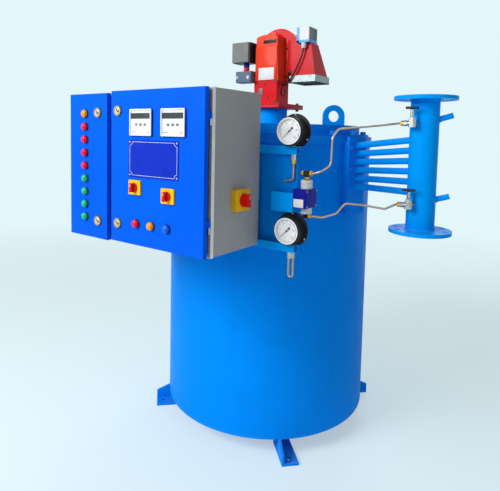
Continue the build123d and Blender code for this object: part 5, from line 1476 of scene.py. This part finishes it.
class BOILER_OT_motor_trim(bpy.types.Operator):
    """Grooved fan cowl and terminal box of the fan motor."""
    bl_idname = "boiler.motor_trim"
    bl_label = "Motor trim"

    COWL_EDGE = ((2, -34), (2, -6), (-3, 0))
    FIRST_GROOVE = 10 * MM
    LAST_GROOVE = 12 * MM
    GROOVE_STEP = 9 * MM
    GROOVE = ((0, 0.6), (-1.2, -1.6), (-4, -1.6), (-5.2, 0.8))
    BOX_CASE = ((-26, 30, -8), (26, 84, 22), 3)
    BOX_LID = ((-28, 28, 20), (28, 86, 25), 1.6)
    LID_CENTRE = Vector((0, 57 * MM, 25 * MM))
    SCREW_SPREAD = (22 * MM, 23 * MM)
    SCREW_SHARE = 0.8

    def cowl(self, radius):
        steps = [(radius + out, rise) for out, rise in mm(*self.COWL_EDGE)]
        groove = radius - self.FIRST_GROOVE
        while groove > self.LAST_GROOVE:
            steps += [(groove + out, rise) for out, rise in mm(*self.GROOVE)]
            groove -= self.GROOVE_STEP
        return turned(steps, 56)

    def execute(self, context):
        lo, hi = BOXES["fan_motor"]
        x, z = (lo.x + hi.x) / 2, (lo.z + hi.z) / 2
        rear = facing((x, hi.y, z), REAR)
        fit("motor_cowl", self.cowl((hi.x - lo.x) / 2), "black moulding", [rear])
        base = Vector((x, lo.y, hi.z))
        box = joined("box", [slab(base, *self.BOX_CASE), slab(base, *self.BOX_LID)])
        fit("terminal_box", box, "motor enamel")
        spots = at_corners(base + self.LID_CENTRE, UP, *self.SCREW_SPREAD)
        screw = pan_screw(self.SCREW_SHARE * context.scene.boiler_sizes.screw_r)
        fit("terminal_screws", screw, "plated steel", spots)
        return {"FINISHED"}


class BOILER_OT_stage(bpy.types.Operator):
    """A pale floor, soft lamps, a white surround and the camera."""
    bl_idname = "boiler.stage"
    bl_label = "Stage"

    FLOOR_R = 14.0
    CLEAR_FROM = 2.2
    CLEAR_TO = 5.5
    SHADOW_LIFT = 0.5
    LAMPS = (("key", (-1.4, -4.2, 3.3), 2.6), ("fill", (4.2, -1.4, 2.4), 3.2), ("rear", (-1.2, 4.6, 3.6), 3.2))
    AIM = Vector((0.1, -0.2, 1.0))
    SENSOR = 36.0

    def floor_finish(self, colour):
        """The floor's own shading, half evened out for the camera, fading to nothing far away."""
        shader, surface, place = new_material("pale floor")
        shader.plug(surface, Base_Color=solid(colour), Roughness=0.6, Specular_IOR_Level=0.2)
        distance = shader.node("VectorMath", {"operation": "LENGTH"})
        shader.feed(distance.inputs[0], place)
        far = shader.spread(distance.outputs["Value"], self.CLEAR_FROM, self.CLEAR_TO)
        seen = shader.node("LightPath").outputs["Is Camera Ray"]
        even = shader.node("Emission", Color=solid(colour), Strength=1.0).outputs[0]
        lifted = shader.mixed(shader.math("MULTIPLY", seen, self.SHADOW_LIFT), surface.outputs[0], even)
        faded = shader.mixed(far, lifted, shader.node("BsdfTransparent").outputs[0])
        shader.plug(shader.tree.nodes["Material Output"], Surface=faded)

    def floor(self, colour):
        deselect()
        bpy.ops.mesh.primitive_circle_add(vertices=96, radius=self.FLOOR_R, fill_type="NGON",
                                          location=(0, 0, CAD_BOX[0].z))
        floor = bpy.context.object
        floor.name = "floor"
        bpy.ops.object.transform_apply(location=True, rotation=True, scale=True)
        self.floor_finish(colour)
        coat(floor, "pale floor")

    def surround(self, colour, strength):
        """An even white light, with the floor's colour where the camera or a mirror sees it."""
        world = bpy.data.worlds.new("surround")
        world.use_nodes = True
        shader = Shader(world.node_tree)
        path = shader.node("LightPath").outputs
        seen = shader.math("MAXIMUM", path["Is Camera Ray"], path["Is Transmission Ray"])
        seen = shader.math("MAXIMUM", seen, path["Is Glossy Ray"])
        even = shader.node("Background", Color=(1.0, 1.0, 1.0, 1.0), Strength=strength).outputs[0]
        shown = shader.node("Background", Color=solid(colour), Strength=1.0).outputs[0]
        shader.plug(world.node_tree.nodes["World Output"], Surface=shader.mixed(seen, even, shown))
        bpy.context.scene.world = world

    def lamp(self, name, place, size, power):
        deselect()
        bpy.ops.object.light_add(type="AREA", location=place)
        lamp = bpy.context.object
        lamp.name = name + "_lamp"
        lamp.data.shape = "DISK"
        lamp.data.size = size
        lamp.data.energy = power
        lamp.rotation_euler = (self.AIM - Vector(place)).to_track_quat("-Z", "Y").to_euler()

    def camera(self, stage):
        deselect()
        bpy.ops.object.camera_add(location=stage.camera)
        camera = bpy.context.object
        camera.name = "camera"
        ahead = Vector((-sin(stage.heading) * cos(stage.pitch), cos(stage.heading) * cos(stage.pitch),
                        -sin(stage.pitch)))
        right = Vector((cos(stage.heading), sin(stage.heading), 0))
        upright = right.cross(ahead)
        lean = Matrix.Rotation(stage.roll, 3, "Z")
        camera.rotation_euler = (Matrix((right, upright, -ahead)).transposed() @ lean).to_euler()
        camera.data.lens = stage.lens
        camera.data.sensor_width = self.SENSOR
        camera.data.shift_x = stage.shift_x
        camera.data.shift_y = stage.shift_y
        camera.data.dof.use_dof = False
        bpy.context.scene.camera = camera

    def execute(self, context):
        stage = context.scene.boiler_stage
        self.floor(stage.floor)
        self.surround(stage.floor, stage.sky_light)
        for name, place, size in self.LAMPS:
            self.lamp(name, place, size, getattr(stage, name + "_power"))
        self.camera(stage)
        context.scene.view_settings.view_transform = "Standard"
        return {"FINISHED"}


# The panel, and what is registered

OPERATORS = (BOILER_OT_finishes, BOILER_OT_shell_bolts, BOILER_OT_welds, BOILER_OT_pipe_nuts, BOILER_OT_door_seals,
             BOILER_OT_lamps, BOILER_OT_locks, BOILER_OT_controllers, BOILER_OT_nameplate, BOILER_OT_switch_marks,
             BOILER_OT_gauge_faces, BOILER_OT_pressure_switch, BOILER_OT_burner_trim, BOILER_OT_burner_controls,
             BOILER_OT_motor_trim, BOILER_OT_stage)


class BOILER_PT_dressing(bpy.types.Panel):
    """The boiler's pieces, in the order they are made."""
    bl_idname = "BOILER_PT_dressing"
    bl_label = "Coil boiler"
    bl_space_type = "VIEW_3D"
    bl_region_type = "UI"
    bl_category = "Boiler"

    def draw(self, context):
        for operator in OPERATORS:
            self.layout.operator(operator.bl_idname)


GROUPS = {"boiler_colours": BoilerColours, "boiler_sizes": BoilerSizes, "boiler_stage": BoilerStage}
CLASSES = (*GROUPS.values(), *OPERATORS, BOILER_PT_dressing)


def register():
    for item in CLASSES:
        bpy.utils.register_class(item)
    for name, group in GROUPS.items():
        setattr(bpy.types.Scene, name, PointerProperty(type=group))


def unregister():
    for name in GROUPS:
        delattr(bpy.types.Scene, name)
    for item in reversed(CLASSES):
        bpy.utils.unregister_class(item)


def main():
    register()
    for operator in OPERATORS:
        group, name = operator.bl_idname.split(".")
        getattr(getattr(bpy.ops, group), name)()


if __name__ == "__main__":
    main()
